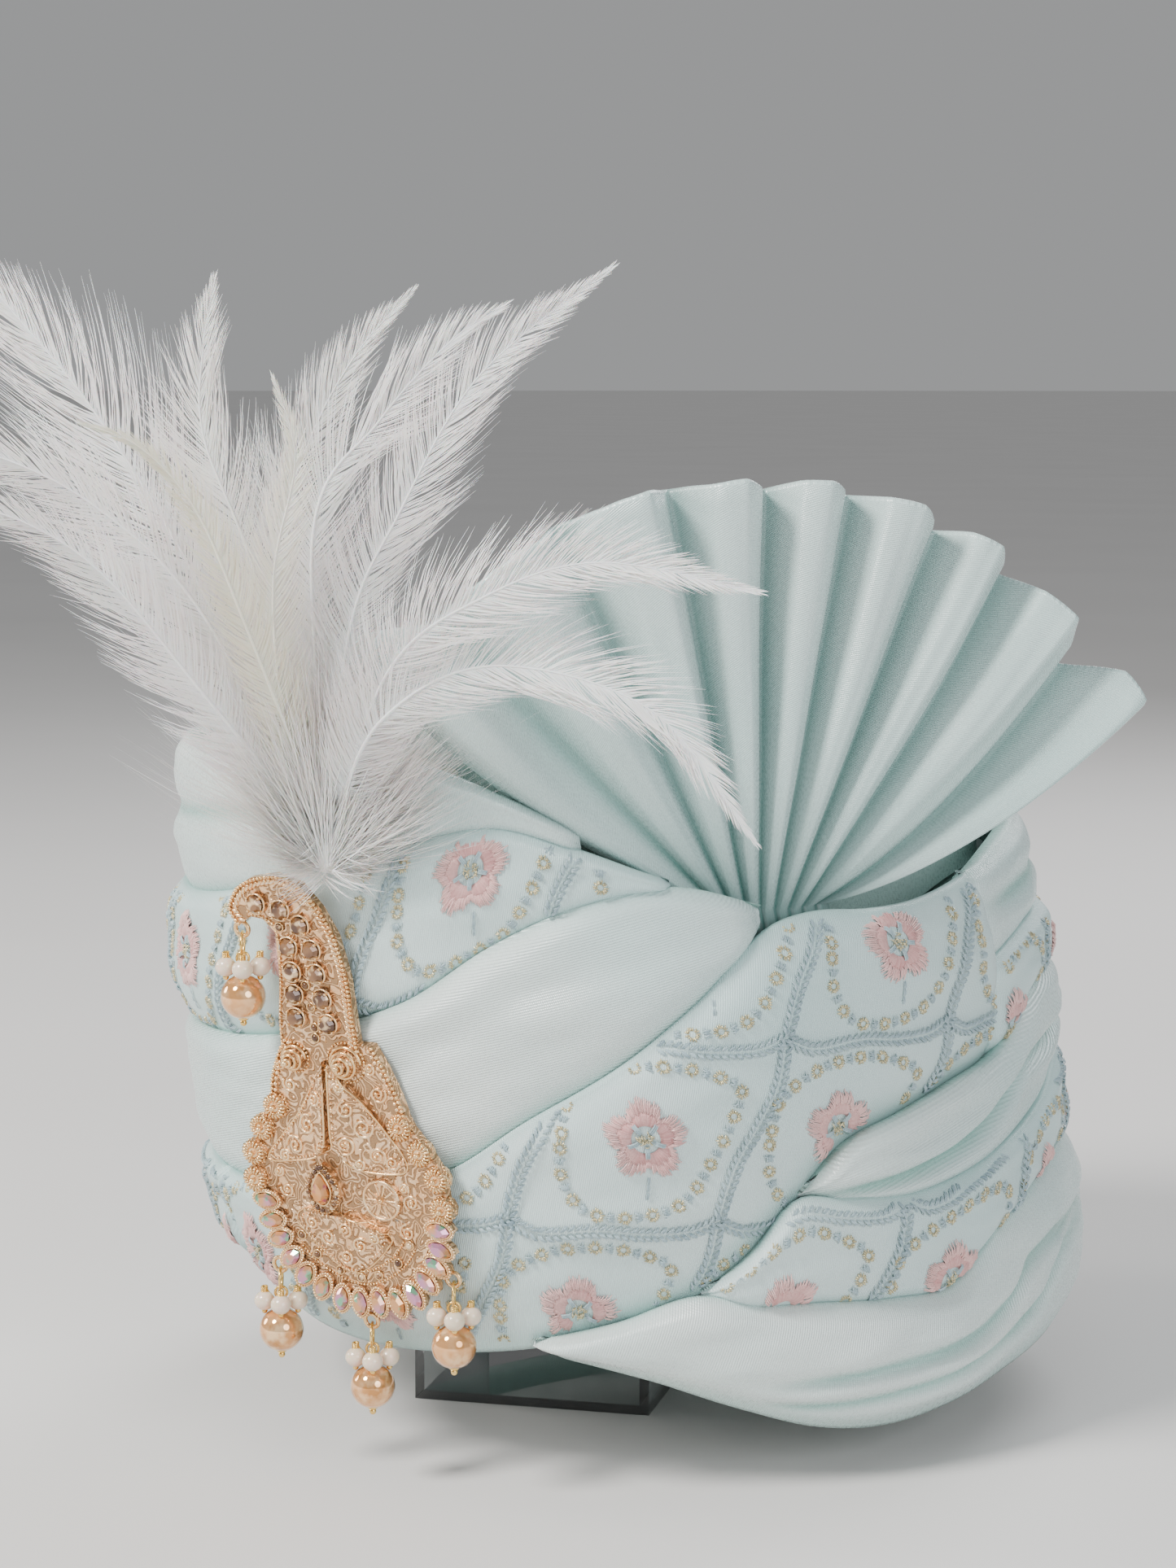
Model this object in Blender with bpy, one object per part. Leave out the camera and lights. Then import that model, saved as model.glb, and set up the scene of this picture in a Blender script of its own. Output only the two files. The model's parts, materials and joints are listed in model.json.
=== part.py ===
"""Groom's tied turban with its brooch, feather plume and clear riser.

Metres, +Z up. The wearer faces -Y, and the wearer's left is +X. The origin is
under the middle of the head opening, on the surface that the riser stands on.
A turn is an angle round the head: 0 at the front, 90 at the wearer's left.
"""
import math

import bmesh
import bpy
from mathutils import Matrix, Vector

# Turban body
HALF_WIDTH = 0.1215        # outside, across the ears
HALF_DEPTH = 0.135         # outside, front to back
WRAP_HEIGHT = 0.200        # floor to the front rim of the wraps
LEAN = 0.18                # the whole body slides forward by this share of the height
LEAN_LEVEL = 0.085         # height that the lean turns about
TOP_DRAW = 0.011           # the wraps draw in by this much at the rim
TOP_DRAW_LEVEL = 0.135     # height that the draw starts at
HEAD_HALF_WIDTH = 0.0785   # the opening for the head
HEAD_HALF_DEPTH = 0.098
WRAP_THICKNESS = 0.0085    # padded cloth of one wrap
CORE_GAP = 0.0008          # between a wrap and the wound core
LAP_GAP = 0.0009           # between two wraps, measured across the lap
CORE_WAIST = 0.35          # height share of its wall's lower corner
CORE_RELIEF = 0.0020       # its wall steps back where the wraps start to draw in
CORE_INSET_TOP = 0.012     # the core's top lies this far under the rim
CORE_INSET_HEM = 0.005     # the core's foot lies this far above the hem
TURN_STEP = 12             # degrees between two sections

# Crown
CROWN_TOP = 0.224
CROWN_HOLLOW_TOP = 0.190
CROWN_GAP = 0.0008
CROWN_SLACK = 0.12         # more room under the crown where the core's top is steep
CROWN_POWER = 3.6
HOLLOW_FLAT = 0.85          # share of the opening under the crown's level ceiling
CROWN_INSET = 0.0060       # crown's foot inside the core's outer face
CROWN_SHARE_AT_FAN = 0.46  # of the wall that the crown's foot covers beside the fan
TISSUE_THICKNESS = 0.0020
TISSUE_INSET = 0.0098
TISSUE_RISE = 0.011

# Pleated fan
FAN_RADIUS = 0.118
FAN_TURN = 66.0            # where its root is tucked in
FAN_ROOT_LEVEL = 0.155
FAN_FACING = 56.0          # azimuth that the fan faces
FAN_LEAN = 6.0             # degrees outward
FAN_THICKNESS = 0.0024
FAN_ROOT_INSET = 0.0125
FAN_INSET = 0.0085         # of the point that its folds run from
FAN_ROOT_TURNS = (58.0, 77.0)
FAN_ROOT_RISE = (-0.0040, 0.0030)   # root above the rim, front and back end
FAN_SEAT_GAP = 0.0012      # under the tucked foot of the fan
FAN_ROOT_SWING = 0.0010
FAN_RIM_SWING = 0.0085

# Brooch
BROOCH_REACH = 0.062       # half of its height, the unit of its tables
BROOCH_TURN = 9.0
BROOCH_LEVEL = 0.108
BROOCH_STANDOFF = 0.0010
BROOCH_FACING = 14.0
BROOCH_DIP = 10.0
PLATE_THICKNESS = 0.0020
SETTING_HEIGHT = 0.0030
STONE_GAP = 0.0003
ROUND_STONE_RADIUS = 0.0025
MARQUISE_LENGTH = 0.0070
MARQUISE_WIDTH = 0.0042
ROSETTE_RADIUS = 0.0037
EYELET_RADIUS = 0.0020
EYELET_WIRE = 0.00055

# Drops
RING_RADIUS = 0.0033
RING_WIRE = 0.0004
LOOP_RADIUS = 0.0016
LOOP_WIRE = 0.0004
BALL_RADIUS = 0.0060
PEARL_RADIUS = 0.0028
HUB_WIRE = 0.0006
PEARL_REACH = 0.0045
PEARL_RISE = 0.0006
PEARL_TURNS = (-95.0, -5.0, 88.0)   # round the neck, from the front
NECK_LENGTH = 0.0028
NECK_RADIUS = 0.0006
LINK_GAP = 0.0003

# Plume
PLUME_LENGTH = 0.155
PLUME_TURN = 11.5
PLUME_LEVEL = 0.178
FEATHER_TURN = 9.0         # the point that the rows of FEATHERS are measured from
FEATHER_LEVEL = 0.170
FEATHER_STANDOFF = 0.014
PLUME_HEAD = (0.0070, 0.0075, 0.0110)
PLUME_STANDOFF = 0.0004
PLUME_FACING = 42.0
FEATHER_THICKNESS = 0.0016
FEATHER_SECTIONS = 6
ROOT_SPREAD = 0.0026       # the quills stand this far apart in the tuft
GOLDEN_ANGLE = 137.5       # turn from one quill to the next

# Riser
RISER_WIDTH = 0.070
RISER_DEPTH = 0.070
RISER_WALL = 0.0028
RISER_GAP = 0.0004
RISER_PLACE = (-0.0164, -0.0155)   # its middle
RISER_TURN = 28.0          # it faces this way, towards the wearer's left

# Heights of the laps between wraps, as shares of WRAP_HEIGHT
RIM = (  # turn, level
    (100, 0.800), (112, 0.830), (126, 0.845), (160, 0.865), (200, 0.900), (240, 0.930),
    (280, 0.955), (320, 0.980), (360, 0.990), (382, 0.985), (394, 0.945), (404, 0.895),
    (416, 0.835), (426, 0.797), (436, 0.778), (448, 0.780), (460, 0.800),
)
TOP_LAP = (
    (98, 0.670), (112, 0.705), (128, 0.712), (160, 0.722), (200, 0.738), (250, 0.755),
    (300, 0.765), (336, 0.775), (360, 0.818), (378, 0.872), (392, 0.906), (402, 0.880),
    (412, 0.840), (420, 0.815),
)
UPPER_LAP = (
    (60, 0.352), (66, 0.413), (72, 0.468), (80, 0.495), (90, 0.524), (100, 0.548), (110, 0.606),
    (124, 0.632), (160, 0.612), (200, 0.592), (250, 0.576), (300, 0.572), (336, 0.580),
    (360, 0.612), (378, 0.672), (390, 0.750), (402, 0.806), (414, 0.826), (426, 0.792),
)
LOWER_LAP = (
    (48, 0.262), (52, 0.286), (58, 0.332), (64, 0.396), (70, 0.392), (80, 0.383), (90, 0.394), (100, 0.418),
    (112, 0.448), (128, 0.488), (160, 0.476), (200, 0.440), (250, 0.396), (300, 0.376),
    (336, 0.374), (360, 0.392), (380, 0.440), (392, 0.518), (404, 0.592), (414, 0.672),
    (424, 0.760), (431, 0.782), (440, 0.778), (448, 0.780), (460, 0.800), (472, 0.830),
)
BASE_LAP = (
    (24, 0.203), (30, 0.214), (40, 0.240), (50, 0.274), (58, 0.256), (66, 0.250), (76, 0.240), (86, 0.240),
    (96, 0.300), (110, 0.350), (128, 0.362), (160, 0.354), (200, 0.326), (250, 0.286),
    (300, 0.252),
)
HEM = (
    (0, 0.190), (12, 0.190), (28, 0.205), (42, 0.172), (54, 0.122), (64, 0.084), (74, 0.070),
    (86, 0.080), (98, 0.100), (128, 0.126), (160, 0.138), (200, 0.156), (250, 0.190),
    (300, 0.232), (336, 0.256), (350, 0.205), (360, 0.190),
)
TUCK_LAP = (  # foot of the lower embroidered wrap where it passes over the layers below it
    (335, 0.256), (350, 0.205), (360, 0.190), (372, 0.190), (388, 0.208), (396, 0.231), (400, 0.242),
    (408, 0.268), (414, 0.298), (420, 0.352), (426, 0.413), (432, 0.468), (440, 0.495),
    (450, 0.524), (460, 0.548), (470, 0.606),
)

# Cross sections of a wrap: share of its width, share of its thickness
BASE_SECTION = ((0.0, -0.76), (0.08, -0.34), (0.22, 0.02), (0.50, 0.24), (0.88, 0.12), (1.0, -0.32))
PLAIN_SECTION = ((0.0, -0.72), (0.10, -0.30), (0.34, -0.04), (0.66, 0.0), (0.90, 0.03), (1.0, -0.32))
HEM_SECTION = ((0.0, -0.94), (0.08, -0.62), (0.22, -0.30), (0.50, -0.05), (0.88, 0.03), (1.0, -0.32))

# Pleats from the front to the back: angle in degrees, reach as a share of FAN_RADIUS
PLEATS = (  # valley angle, valley reach, ridge angle, ridge reach, sag
    (148.5, 1.00, 143.0, 1.06, -0.05),
    (137.0, 1.00, 128.0, 1.03, 0.00),
    (119.0, 1.00, 109.5, 1.02, 0.00),
    (104.0, 0.98, 97.5, 1.00, 0.00),
    (91.5, 0.95, 86.0, 0.99, 0.00),
    (80.0, 0.95, 74.0, 0.98, 0.00),
    (67.0, 0.93, 61.5, 0.97, -0.01),
    (55.5, 0.92, 48.0, 0.95, -0.03),
    (39.5, 0.87, 31.5, 0.97, -0.07),
)
FAN_LAST = (28.0, 0.95, -0.05)   # the back edge: angle, reach, sag
FAN_RINGS = (0.0, 0.22, 0.48, 0.75, 1.0)

# Brooch outline and details, in shares of BROOCH_REACH: across, up
BODY_OUTLINE = (
    (0.190, 0.280), (0.240, 0.190), (0.300, 0.050), (0.330, -0.060), (0.410, -0.160),
    (0.475, -0.270), (0.485, -0.430), (0.460, -0.580), (0.430, -0.680), (0.360, -0.785),
    (0.240, -0.885), (0.100, -0.925), (-0.050, -0.925), (-0.200, -0.870), (-0.310, -0.785),
    (-0.390, -0.680), (-0.440, -0.550), (-0.485, -0.400), (-0.490, -0.270), (-0.430, -0.140),
    (-0.365, -0.020), (-0.345, 0.090), (-0.295, 0.210), (-0.250, 0.280),
)
HOOK_OUTLINE = (
    (0.127, 0.200), (0.113, 0.390), (0.105, 0.570), (0.066, 0.750), (0.002, 0.870),
    (-0.087, 0.970), (-0.203, 1.005), (-0.330, 0.980), (-0.416, 0.927), (-0.461, 0.834),
    (-0.420, 0.762), (-0.350, 0.806), (-0.290, 0.800), (-0.235, 0.744), (-0.240, 0.544),
    (-0.265, 0.360), (-0.270, 0.200),
)
ROUND_STONES = (
    (-0.31, 0.87), (-0.19, 0.85), (-0.10, 0.79), (-0.17, 0.69), (-0.055, 0.685), (-0.165, 0.58),
    (-0.045, 0.58), (-0.165, 0.48), (-0.028, 0.47), (-0.17, 0.375), (-0.012, 0.36),
)
ROSETTES = (
    (-0.33, -0.045), (-0.41, -0.15), (-0.465, -0.27), (-0.475, -0.395),
    (0.285, -0.08), (0.37, -0.185), (0.44, -0.295), (0.455, -0.43),
)
CONES = ((-0.205, 0.19, 0.060), (0.050, 0.19, 0.080))
MARQUISES = (  # across, up, direction of the long axis in degrees
    (-0.424, -0.484, 176), (-0.403, -0.574, 190), (-0.374, -0.656, 202), (-0.327, -0.740, 216),
    (-0.265, -0.813, 230), (-0.182, -0.861, 243), (-0.090, -0.902, 257), (0.003, -0.911, 268),
    (0.098, -0.898, 277), (0.194, -0.890, 288), (0.279, -0.839, 301), (0.347, -0.766, 315),
    (0.405, -0.689, 328), (0.431, -0.610, 342), (0.432, -0.522, 356),
)
LEAF_LEFT = (  # across, up, height in shares of the setting height
    (-0.06, 0.19, 1.5), (-0.19, -0.03, 1.3), (-0.39, -0.26, 1.0), (-0.40, -0.31, 0.9),
    (-0.27, -0.29, 1.3), (-0.13, -0.25, 1.9), (-0.065, -0.18, 2.2), (-0.05, 0.02, 2.1),
)
LEAF_RIGHT = (
    (-0.035, 0.19, 1.5), (-0.035, 0.02, 2.1), (-0.035, -0.18, 2.2), (0.02, -0.26, 1.9),
    (0.12, -0.30, 1.5), (0.30, -0.29, 1.0), (0.275, -0.18, 1.0), (0.11, 0.03, 1.3),
    (0.03, 0.10, 1.5),
)
LEAF_LOWER = (
    (-0.23, -0.50, 1.4), (-0.285, -0.58, 1.1), (-0.03, -0.79, 1.3), (0.185, -0.63, 1.1),
    (0.155, -0.565, 1.5), (0.02, -0.52, 1.7),
)
WHEEL = (0.16, -0.42, 0.10)
TEARDROP = (-0.12, -0.39)
TEARDROP_SIZE = (0.0050, 0.0085)
EYELETS = (  # across, up
    (-0.415, 0.740), (-0.415, -0.800), (0.027, -1.005), (0.460, -0.755),
)

# Feathers: rows of across and rise in shares of PLUME_LENGTH, then width and lean to the viewer
FEATHERS = (  # points, half width share, forward lean
    (((-0.17, 0.50), (-0.33, 0.76), (-0.47, 0.93), (-0.54, 1.01)), 0.092, -0.10),
    (((-0.15, 0.45), (-0.32, 0.62), (-0.48, 0.70), (-0.58, 0.72)), 0.072, 0.12),
    (((-0.13, 0.30), (-0.28, 0.50), (-0.40, 0.59), (-0.53, 0.63)), 0.060, 0.28),
    (((-0.06, 0.42), (-0.13, 0.61), (-0.21, 0.71), (-0.30, 0.75)), 0.040, 0.36),
    (((-0.06, 0.50), (-0.14, 0.72), (-0.14, 0.86), (-0.12, 0.97)), 0.070, 0.02),
    (((-0.03, 0.50), (0.02, 0.71), (0.10, 0.86), (0.19, 0.96)), 0.060, -0.18),
    (((0.04, 0.57), (0.15, 0.75), (0.27, 0.88), (0.35, 0.93)), 0.072, 0.12),
    (((0.10, 0.42), (0.18, 0.60), (0.31, 0.82), (0.52, 0.99)), 0.056, 0.16),
    (((0.17, 0.36), (0.32, 0.48), (0.50, 0.54), (0.74, 0.50)), 0.062, 0.52),
    (((0.15, 0.27), (0.33, 0.37), (0.58, 0.31), (0.74, 0.11)), 0.060, 0.52),
)


# Small helpers

def clear_scene():
    for item in list(bpy.data.objects):
        bpy.data.objects.remove(item, do_unlink=True)


def material(name, color, roughness, metallic=0.0, alpha=1.0):
    made = bpy.data.materials.new(name)
    made.use_nodes = True
    shader = made.node_tree.nodes["Principled BSDF"]
    shader.inputs["Base Color"].default_value = (*color, 1.0)
    shader.inputs["Roughness"].default_value = roughness
    shader.inputs["Metallic"].default_value = metallic
    shader.inputs["Alpha"].default_value = alpha
    return made


def smooth_value(rows, turn):
    """Height at a turn, on a smooth curve through the rows of a lap."""
    if turn <= rows[0][0]:
        return rows[0][1]
    if turn >= rows[-1][0]:
        return rows[-1][1]
    index = max(i for i in range(len(rows)) if rows[i][0] <= turn)
    before = rows[max(index - 1, 0)]
    first = rows[index]
    last = rows[index + 1]
    after = rows[min(index + 2, len(rows) - 1)]
    span = last[0] - first[0]
    share = (turn - first[0]) / span
    slope_in = (last[1] - before[1]) / (last[0] - before[0]) * span
    slope_out = (after[1] - first[1]) / (after[0] - first[0]) * span
    square = share * share
    cube = square * share
    return ((2 * cube - 3 * square + 1) * first[1] + (cube - 2 * square + share) * slope_in
            + (3 * square - 2 * cube) * last[1] + (cube - square) * slope_out)


def level(rows, turn):
    """Height at a turn, straight between the common sections so that laps match."""
    first = math.floor(turn / TURN_STEP) * TURN_STEP
    share = (turn - first) / TURN_STEP
    low = smooth_value(rows, first)
    high = smooth_value(rows, first + TURN_STEP)
    return (low + (high - low) * share) * WRAP_HEIGHT


def surface_point(turn, height, out=0.0):
    """Point on the turban's outer surface, moved out along its level normal."""
    angle = math.radians(turn)
    normal = Vector((math.sin(angle) / HALF_WIDTH, -math.cos(angle) / HALF_DEPTH, 0)).normalized()
    middle = -LEAN * (height - LEAN_LEVEL)
    point = Vector((HALF_WIDTH * math.sin(angle), middle - HALF_DEPTH * math.cos(angle), height))
    draw = TOP_DRAW * max(0.0, (height - TOP_DRAW_LEVEL) / (WRAP_HEIGHT - TOP_DRAW_LEVEL))
    return point + normal * (out - draw)


def head_point(turn, height):
    angle = math.radians(turn)
    return Vector((HEAD_HALF_WIDTH * math.sin(angle), -HEAD_HALF_DEPTH * math.cos(angle), height))


def rim_level(turn):
    """Rim height at any turn: the front rows run on past a full circle."""
    full = turn % 360
    return level(RIM, full if full >= 100 else full + 360)


def hem_level(turn):
    return level(HEM, turn % 360)


def core_top(turn):
    return rim_level(turn) - CORE_INSET_TOP


def new_object(name, mesh_data, finish):
    made = bpy.data.objects.new(name, mesh_data)
    bpy.context.scene.collection.objects.link(made)
    mesh_data.materials.append(finish)
    return made


def object_from(name, shape, finish, smooth=True):
    """Turn a closed bmesh into an object with its faces pointing out."""
    bmesh.ops.recalc_face_normals(shape, faces=shape.faces)
    if shape.calc_volume(signed=True) < 0:
        bmesh.ops.reverse_faces(shape, faces=shape.faces)
    mesh_data = bpy.data.meshes.new(name)
    shape.to_mesh(mesh_data)
    shape.free()
    if smooth:
        mesh_data.shade_smooth()
        mesh_data.set_sharp_from_angle(angle=math.radians(40))
    return new_object(name, mesh_data, finish)


def join_loops(shape, loops, closed):
    """Skin a row of equal loops of vertices; closed joins the last loop to the first."""
    count = len(loops[0])
    pairs = len(loops) if closed else len(loops) - 1
    for row in range(pairs):
        here = loops[row]
        there = loops[(row + 1) % len(loops)]
        for k in range(count):
            shape.faces.new((here[k], here[(k + 1) % count], there[(k + 1) % count], there[k]))


def cap_loop(shape, loop):
    """Close one end of a skin with triangles round its middle."""
    middle = Vector((0, 0, 0))
    for corner in loop:
        middle += corner.co
    centre = shape.verts.new(middle / len(loop))
    for k in range(len(loop)):
        shape.faces.new((loop[k], loop[(k + 1) % len(loop)], centre))


def skin(loops_of_points, closed=False):
    shape = bmesh.new()
    loops = [[shape.verts.new(point) for point in loop] for loop in loops_of_points]
    join_loops(shape, loops, closed)
    if not closed:
        cap_loop(shape, loops[0])
        cap_loop(shape, loops[-1])
    return shape


# Turban body

def turns_between(start, end):
    """The common sections between two turns, with both ends."""
    first = math.ceil((start + 1) / TURN_STEP)
    last = math.floor((end - 1) / TURN_STEP)
    return [start] + [k * TURN_STEP for k in range(first, last + 1)] + [end]


def lap_shift(rows, turn):
    """Half the gap between wraps, as a height, where the lap runs aslant."""
    rise = level(rows, turn + 1) - level(rows, turn - 1)
    run = math.radians(2) * HALF_DEPTH
    return 0.5 * LAP_GAP * math.hypot(1, rise / run)


def wrap(name, start, end, low_rows, high_rows, section, finish):
    """One turn of padded cloth between two laps."""
    loops = []
    for turn in turns_between(start, end):
        low = level(low_rows, turn) + lap_shift(low_rows, turn)
        high = level(high_rows, turn) - lap_shift(high_rows, turn)
        width = max(high - low, LAP_GAP)
        outer = [surface_point(turn, low + width * share, WRAP_THICKNESS * depth)
                 for share, depth in section]
        inner = [surface_point(turn, low + width * share, -WRAP_THICKNESS) for share in (1.0, 0.0)]
        loops.append(outer + inner)
    return object_from(name, skin(loops), finish)


def wound_core(finish):
    loops = []
    inset = -WRAP_THICKNESS - CORE_GAP
    for turn in range(0, 360, TURN_STEP):
        low = hem_level(turn) + CORE_INSET_HEM
        high = core_top(turn)
        middle = low + CORE_WAIST * (high - low)
        loops.append([
            surface_point(turn, low, inset - CORE_INSET_HEM),
            surface_point(turn, low + CORE_INSET_HEM, inset),
            surface_point(turn, middle, inset),
            surface_point(turn, TOP_DRAW_LEVEL, inset - CORE_RELIEF),
            surface_point(turn, high, inset - CORE_RELIEF),
            head_point(turn, high),
            head_point(turn, middle),
            head_point(turn, low + CORE_INSET_HEM),
            head_point(turn, low).lerp(surface_point(turn, low, inset), 0.12),
        ])
    return object_from("wound_core", skin(loops, closed=True), finish)


def crown_foot(turn):
    steep = abs(core_top(turn + TURN_STEP) - core_top(turn - TURN_STEP))
    return core_top(turn) + CROWN_GAP + CROWN_SLACK * steep


def crown_shoulder(turn):
    """Share of the core's wall that the crown's foot covers, less beside the fan."""
    away = abs((turn - FAN_TURN + 12 + 180) % 360 - 180)
    ease = min(max((away - 38) / 40, 0.0), 1.0)
    ease = ease * ease * (3 - 2 * ease)
    return CROWN_SHARE_AT_FAN + (1 - CROWN_SHARE_AT_FAN) * ease


def dome_height(foot, top, share):
    """Height of a full dome at a share of its radius."""
    return foot + (top - foot) * (1 - share ** CROWN_POWER) ** (1 / CROWN_POWER)


def crown_loops(turn):
    inset = -WRAP_THICKNESS - CORE_GAP
    foot = crown_foot(turn)
    inside = head_point(turn, foot)
    outside = inside.lerp(surface_point(turn, foot, inset - CROWN_INSET), crown_shoulder(turn))
    centre = Vector((0, -LEAN * (foot - LEAN_LEVEL), 0))
    outer = []
    for share in (1.0, 0.975, 0.90, 0.76, 0.52):
        point = centre.lerp(outside, share)
        point.z = dome_height(foot, CROWN_TOP, share)
        outer.append(point)
    inner = []
    for share, height in ((HOLLOW_FLAT, CROWN_HOLLOW_TOP), (0.95, 0.5 * (foot + CROWN_HOLLOW_TOP)),
                          (1.0, foot)):
        point = inside * share
        point.z = height
        inner.append(point)
    return outer, inner


def crown(finish):
    shape = bmesh.new()
    rows = [crown_loops(turn) for turn in range(0, 360, TURN_STEP)]
    outer = [[shape.verts.new(point) for point in row[0]] for row in rows]
    inner = [[shape.verts.new(point) for point in row[1]] for row in rows]
    count = len(rows)
    top = shape.verts.new((0, -LEAN * (CROWN_TOP - LEAN_LEVEL), CROWN_TOP))
    under = shape.verts.new((0, 0, CROWN_HOLLOW_TOP))
    for k in range(count):
        after = (k + 1) % count
        for step in range(len(outer[0]) - 1):
            shape.faces.new((outer[k][step], outer[after][step],
                             outer[after][step + 1], outer[k][step + 1]))
        for step in range(len(inner[0]) - 1):
            shape.faces.new((inner[k][step], inner[after][step],
                             inner[after][step + 1], inner[k][step + 1]))
        shape.faces.new((outer[k][-1], outer[after][-1], top))
        shape.faces.new((inner[k][0], inner[after][0], under))
        shape.faces.new((outer[k][0], outer[after][0], inner[after][-1], inner[k][-1]))
    return object_from("crown_cap", shape, finish)


def tissue_fold(finish):
    """Gold tissue that stands up between the rim and the crown, at the front."""
    start = 252
    end = 387
    loops = []
    for turn in turns_between(start, end):
        foot = rim_level(turn) - 0.5 * CORE_INSET_TOP
        fade = min(1.0, (turn - start) / 20, (end - turn) / 30)
        high = rim_level(turn) + TISSUE_RISE * (0.15 + 0.85 * fade)
        inner = -TISSUE_INSET - TISSUE_THICKNESS
        loops.append([
            surface_point(turn, foot, -TISSUE_INSET),
            surface_point(turn, high, -TISSUE_INSET),
            surface_point(turn, high, inner),
            surface_point(turn, foot, inner),
        ])
    return object_from("tissue_fold", skin(loops), finish)


# Pleated fan

def fan_axes():
    facing = math.radians(FAN_FACING)
    lean = math.radians(FAN_LEAN)
    out = Vector((math.sin(facing) * math.cos(lean), -math.cos(facing) * math.cos(lean),
                  -math.sin(lean)))
    across = Vector((math.cos(facing), math.sin(facing), 0))
    return across, across.cross(out) * -1, out


def fan_spokes():
    """Every fold line of the fan: angle, reach, sag and swing from valley to ridge."""
    spokes = []
    for number, (valley, valley_reach, ridge, ridge_reach, sag) in enumerate(PLEATS):
        if number + 1 < len(PLEATS):
            following = (PLEATS[number + 1][0], PLEATS[number + 1][1], PLEATS[number + 1][4])
        else:
            following = FAN_LAST
        next_angle, next_reach, next_sag = following
        spokes.append((valley, valley_reach, sag, -1.0))
        spokes.append((0.45 * valley + 0.55 * ridge, ridge_reach * 0.995, sag, 0.70))
        spokes.append((0.75 * ridge + 0.25 * next_angle, ridge_reach, sag, 1.0))
        spokes.append((0.35 * ridge + 0.65 * next_angle, 0.5 * (ridge_reach + next_reach),
                       0.5 * (sag + next_sag), 0.35))
    spokes.append((FAN_LAST[0], FAN_LAST[1], FAN_LAST[2], -0.6))
    return spokes


def fan_root(share):
    """Point where a fold line leaves the rim, at a share of the root's length."""
    turn = FAN_ROOT_TURNS[0] + (FAN_ROOT_TURNS[1] - FAN_ROOT_TURNS[0]) * share
    rise = FAN_ROOT_RISE[0] + (FAN_ROOT_RISE[1] - FAN_ROOT_RISE[0]) * share
    return surface_point(turn, rim_level(turn) + rise, -FAN_ROOT_INSET)


def fan_foot(share):
    """Point under the root, tucked between the wraps and the crown onto the core."""
    turn = FAN_ROOT_TURNS[0] + (FAN_ROOT_TURNS[1] - FAN_ROOT_TURNS[0]) * share
    return surface_point(turn, core_top(turn) + FAN_SEAT_GAP, -FAN_ROOT_INSET)


def fan_point(origin, axes, share, spoke, ring):
    across, up, out = axes
    angle, reach, sag, swing = spoke
    start = fan_root(share)
    radians = math.radians(angle)
    direction = across * math.cos(radians) + up * math.sin(radians)
    tip = origin + direction * (reach * FAN_RADIUS)
    bow = 4 * ring * (1 - ring) * sag * FAN_RADIUS
    deep = FAN_ROOT_SWING + (FAN_RIM_SWING - FAN_ROOT_SWING) * ring
    return start.lerp(tip, ring) + up * bow + out * (deep * swing)


def pleated_fan(finish):
    axes = fan_axes()
    origin = surface_point(FAN_TURN, FAN_ROOT_LEVEL, -FAN_INSET)
    spokes = fan_spokes()
    half = axes[2] * (0.5 * FAN_THICKNESS)
    loops = []
    for number, spoke in enumerate(spokes):
        share = number / (len(spokes) - 1)
        line = [fan_foot(share)]
        line += [fan_point(origin, axes, share, spoke, ring) for ring in FAN_RINGS]
        front = [point + half for point in line]
        back = [point - half for point in reversed(line)]
        loops.append(front + back)
    shape = bmesh.new()
    made = [[shape.verts.new(point) for point in loop] for loop in loops]
    join_loops(shape, made, closed=False)
    rings = len(FAN_RINGS) + 1
    for edge in (made[0], made[-1]):
        for k in range(rings - 1):
            shape.faces.new((edge[k], edge[k + 1], edge[2 * rings - 2 - k], edge[2 * rings - 1 - k]))
    return object_from("pleated_fan", shape, finish)


# Brooch

def brooch_matrix():
    facing = math.radians(BROOCH_FACING)
    dip = math.radians(BROOCH_DIP)
    out = Vector((math.sin(facing) * math.cos(dip), -math.cos(facing) * math.cos(dip),
                  -math.sin(dip)))
    across = Vector((math.cos(facing), math.sin(facing), 0))
    up = out.cross(across)
    origin = surface_point(BROOCH_TURN, BROOCH_LEVEL, BROOCH_STANDOFF)
    turned = Matrix((across, up, out)).transposed().to_4x4()
    return Matrix.Translation(origin) @ turned


def prism(outline, low, high, taper=1.0):
    """Upright prism on a flat outline, its top drawn in round its middle."""
    shape = bmesh.new()
    middle = Vector((sum(p[0] for p in outline), sum(p[1] for p in outline), 0)) / len(outline)
    foot = [shape.verts.new((x, y, low)) for x, y in outline]
    head = []
    for x, y in outline:
        flat = middle.lerp(Vector((x, y, 0)), taper)
        head.append(shape.verts.new((flat.x, flat.y, high)))
    count = len(outline)
    for k in range(count):
        after = (k + 1) % count
        shape.faces.new((foot[k], foot[after], head[after], head[k]))
    shape.faces.new(head)
    shape.faces.new(list(reversed(foot)))
    return shape


def circle(x, y, radius, sides, start=0.0):
    return [(x + radius * math.cos(start + math.tau * k / sides),
             y + radius * math.sin(start + math.tau * k / sides)) for k in range(sides)]


def almond(x, y, length, width, degrees):
    """Outline of a marquise stone: two arcs that meet in points."""
    turned = math.radians(degrees)
    points = []
    for k in range(8):
        along = 0.5 * length * math.cos(math.tau * k / 8)
        aside = 0.5 * width * math.sin(math.tau * k / 8)
        aside *= 0.86 if k % 2 else 1.0
        points.append((x + along * math.cos(turned) - aside * math.sin(turned),
                       y + along * math.sin(turned) + aside * math.cos(turned)))
    return points


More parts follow.
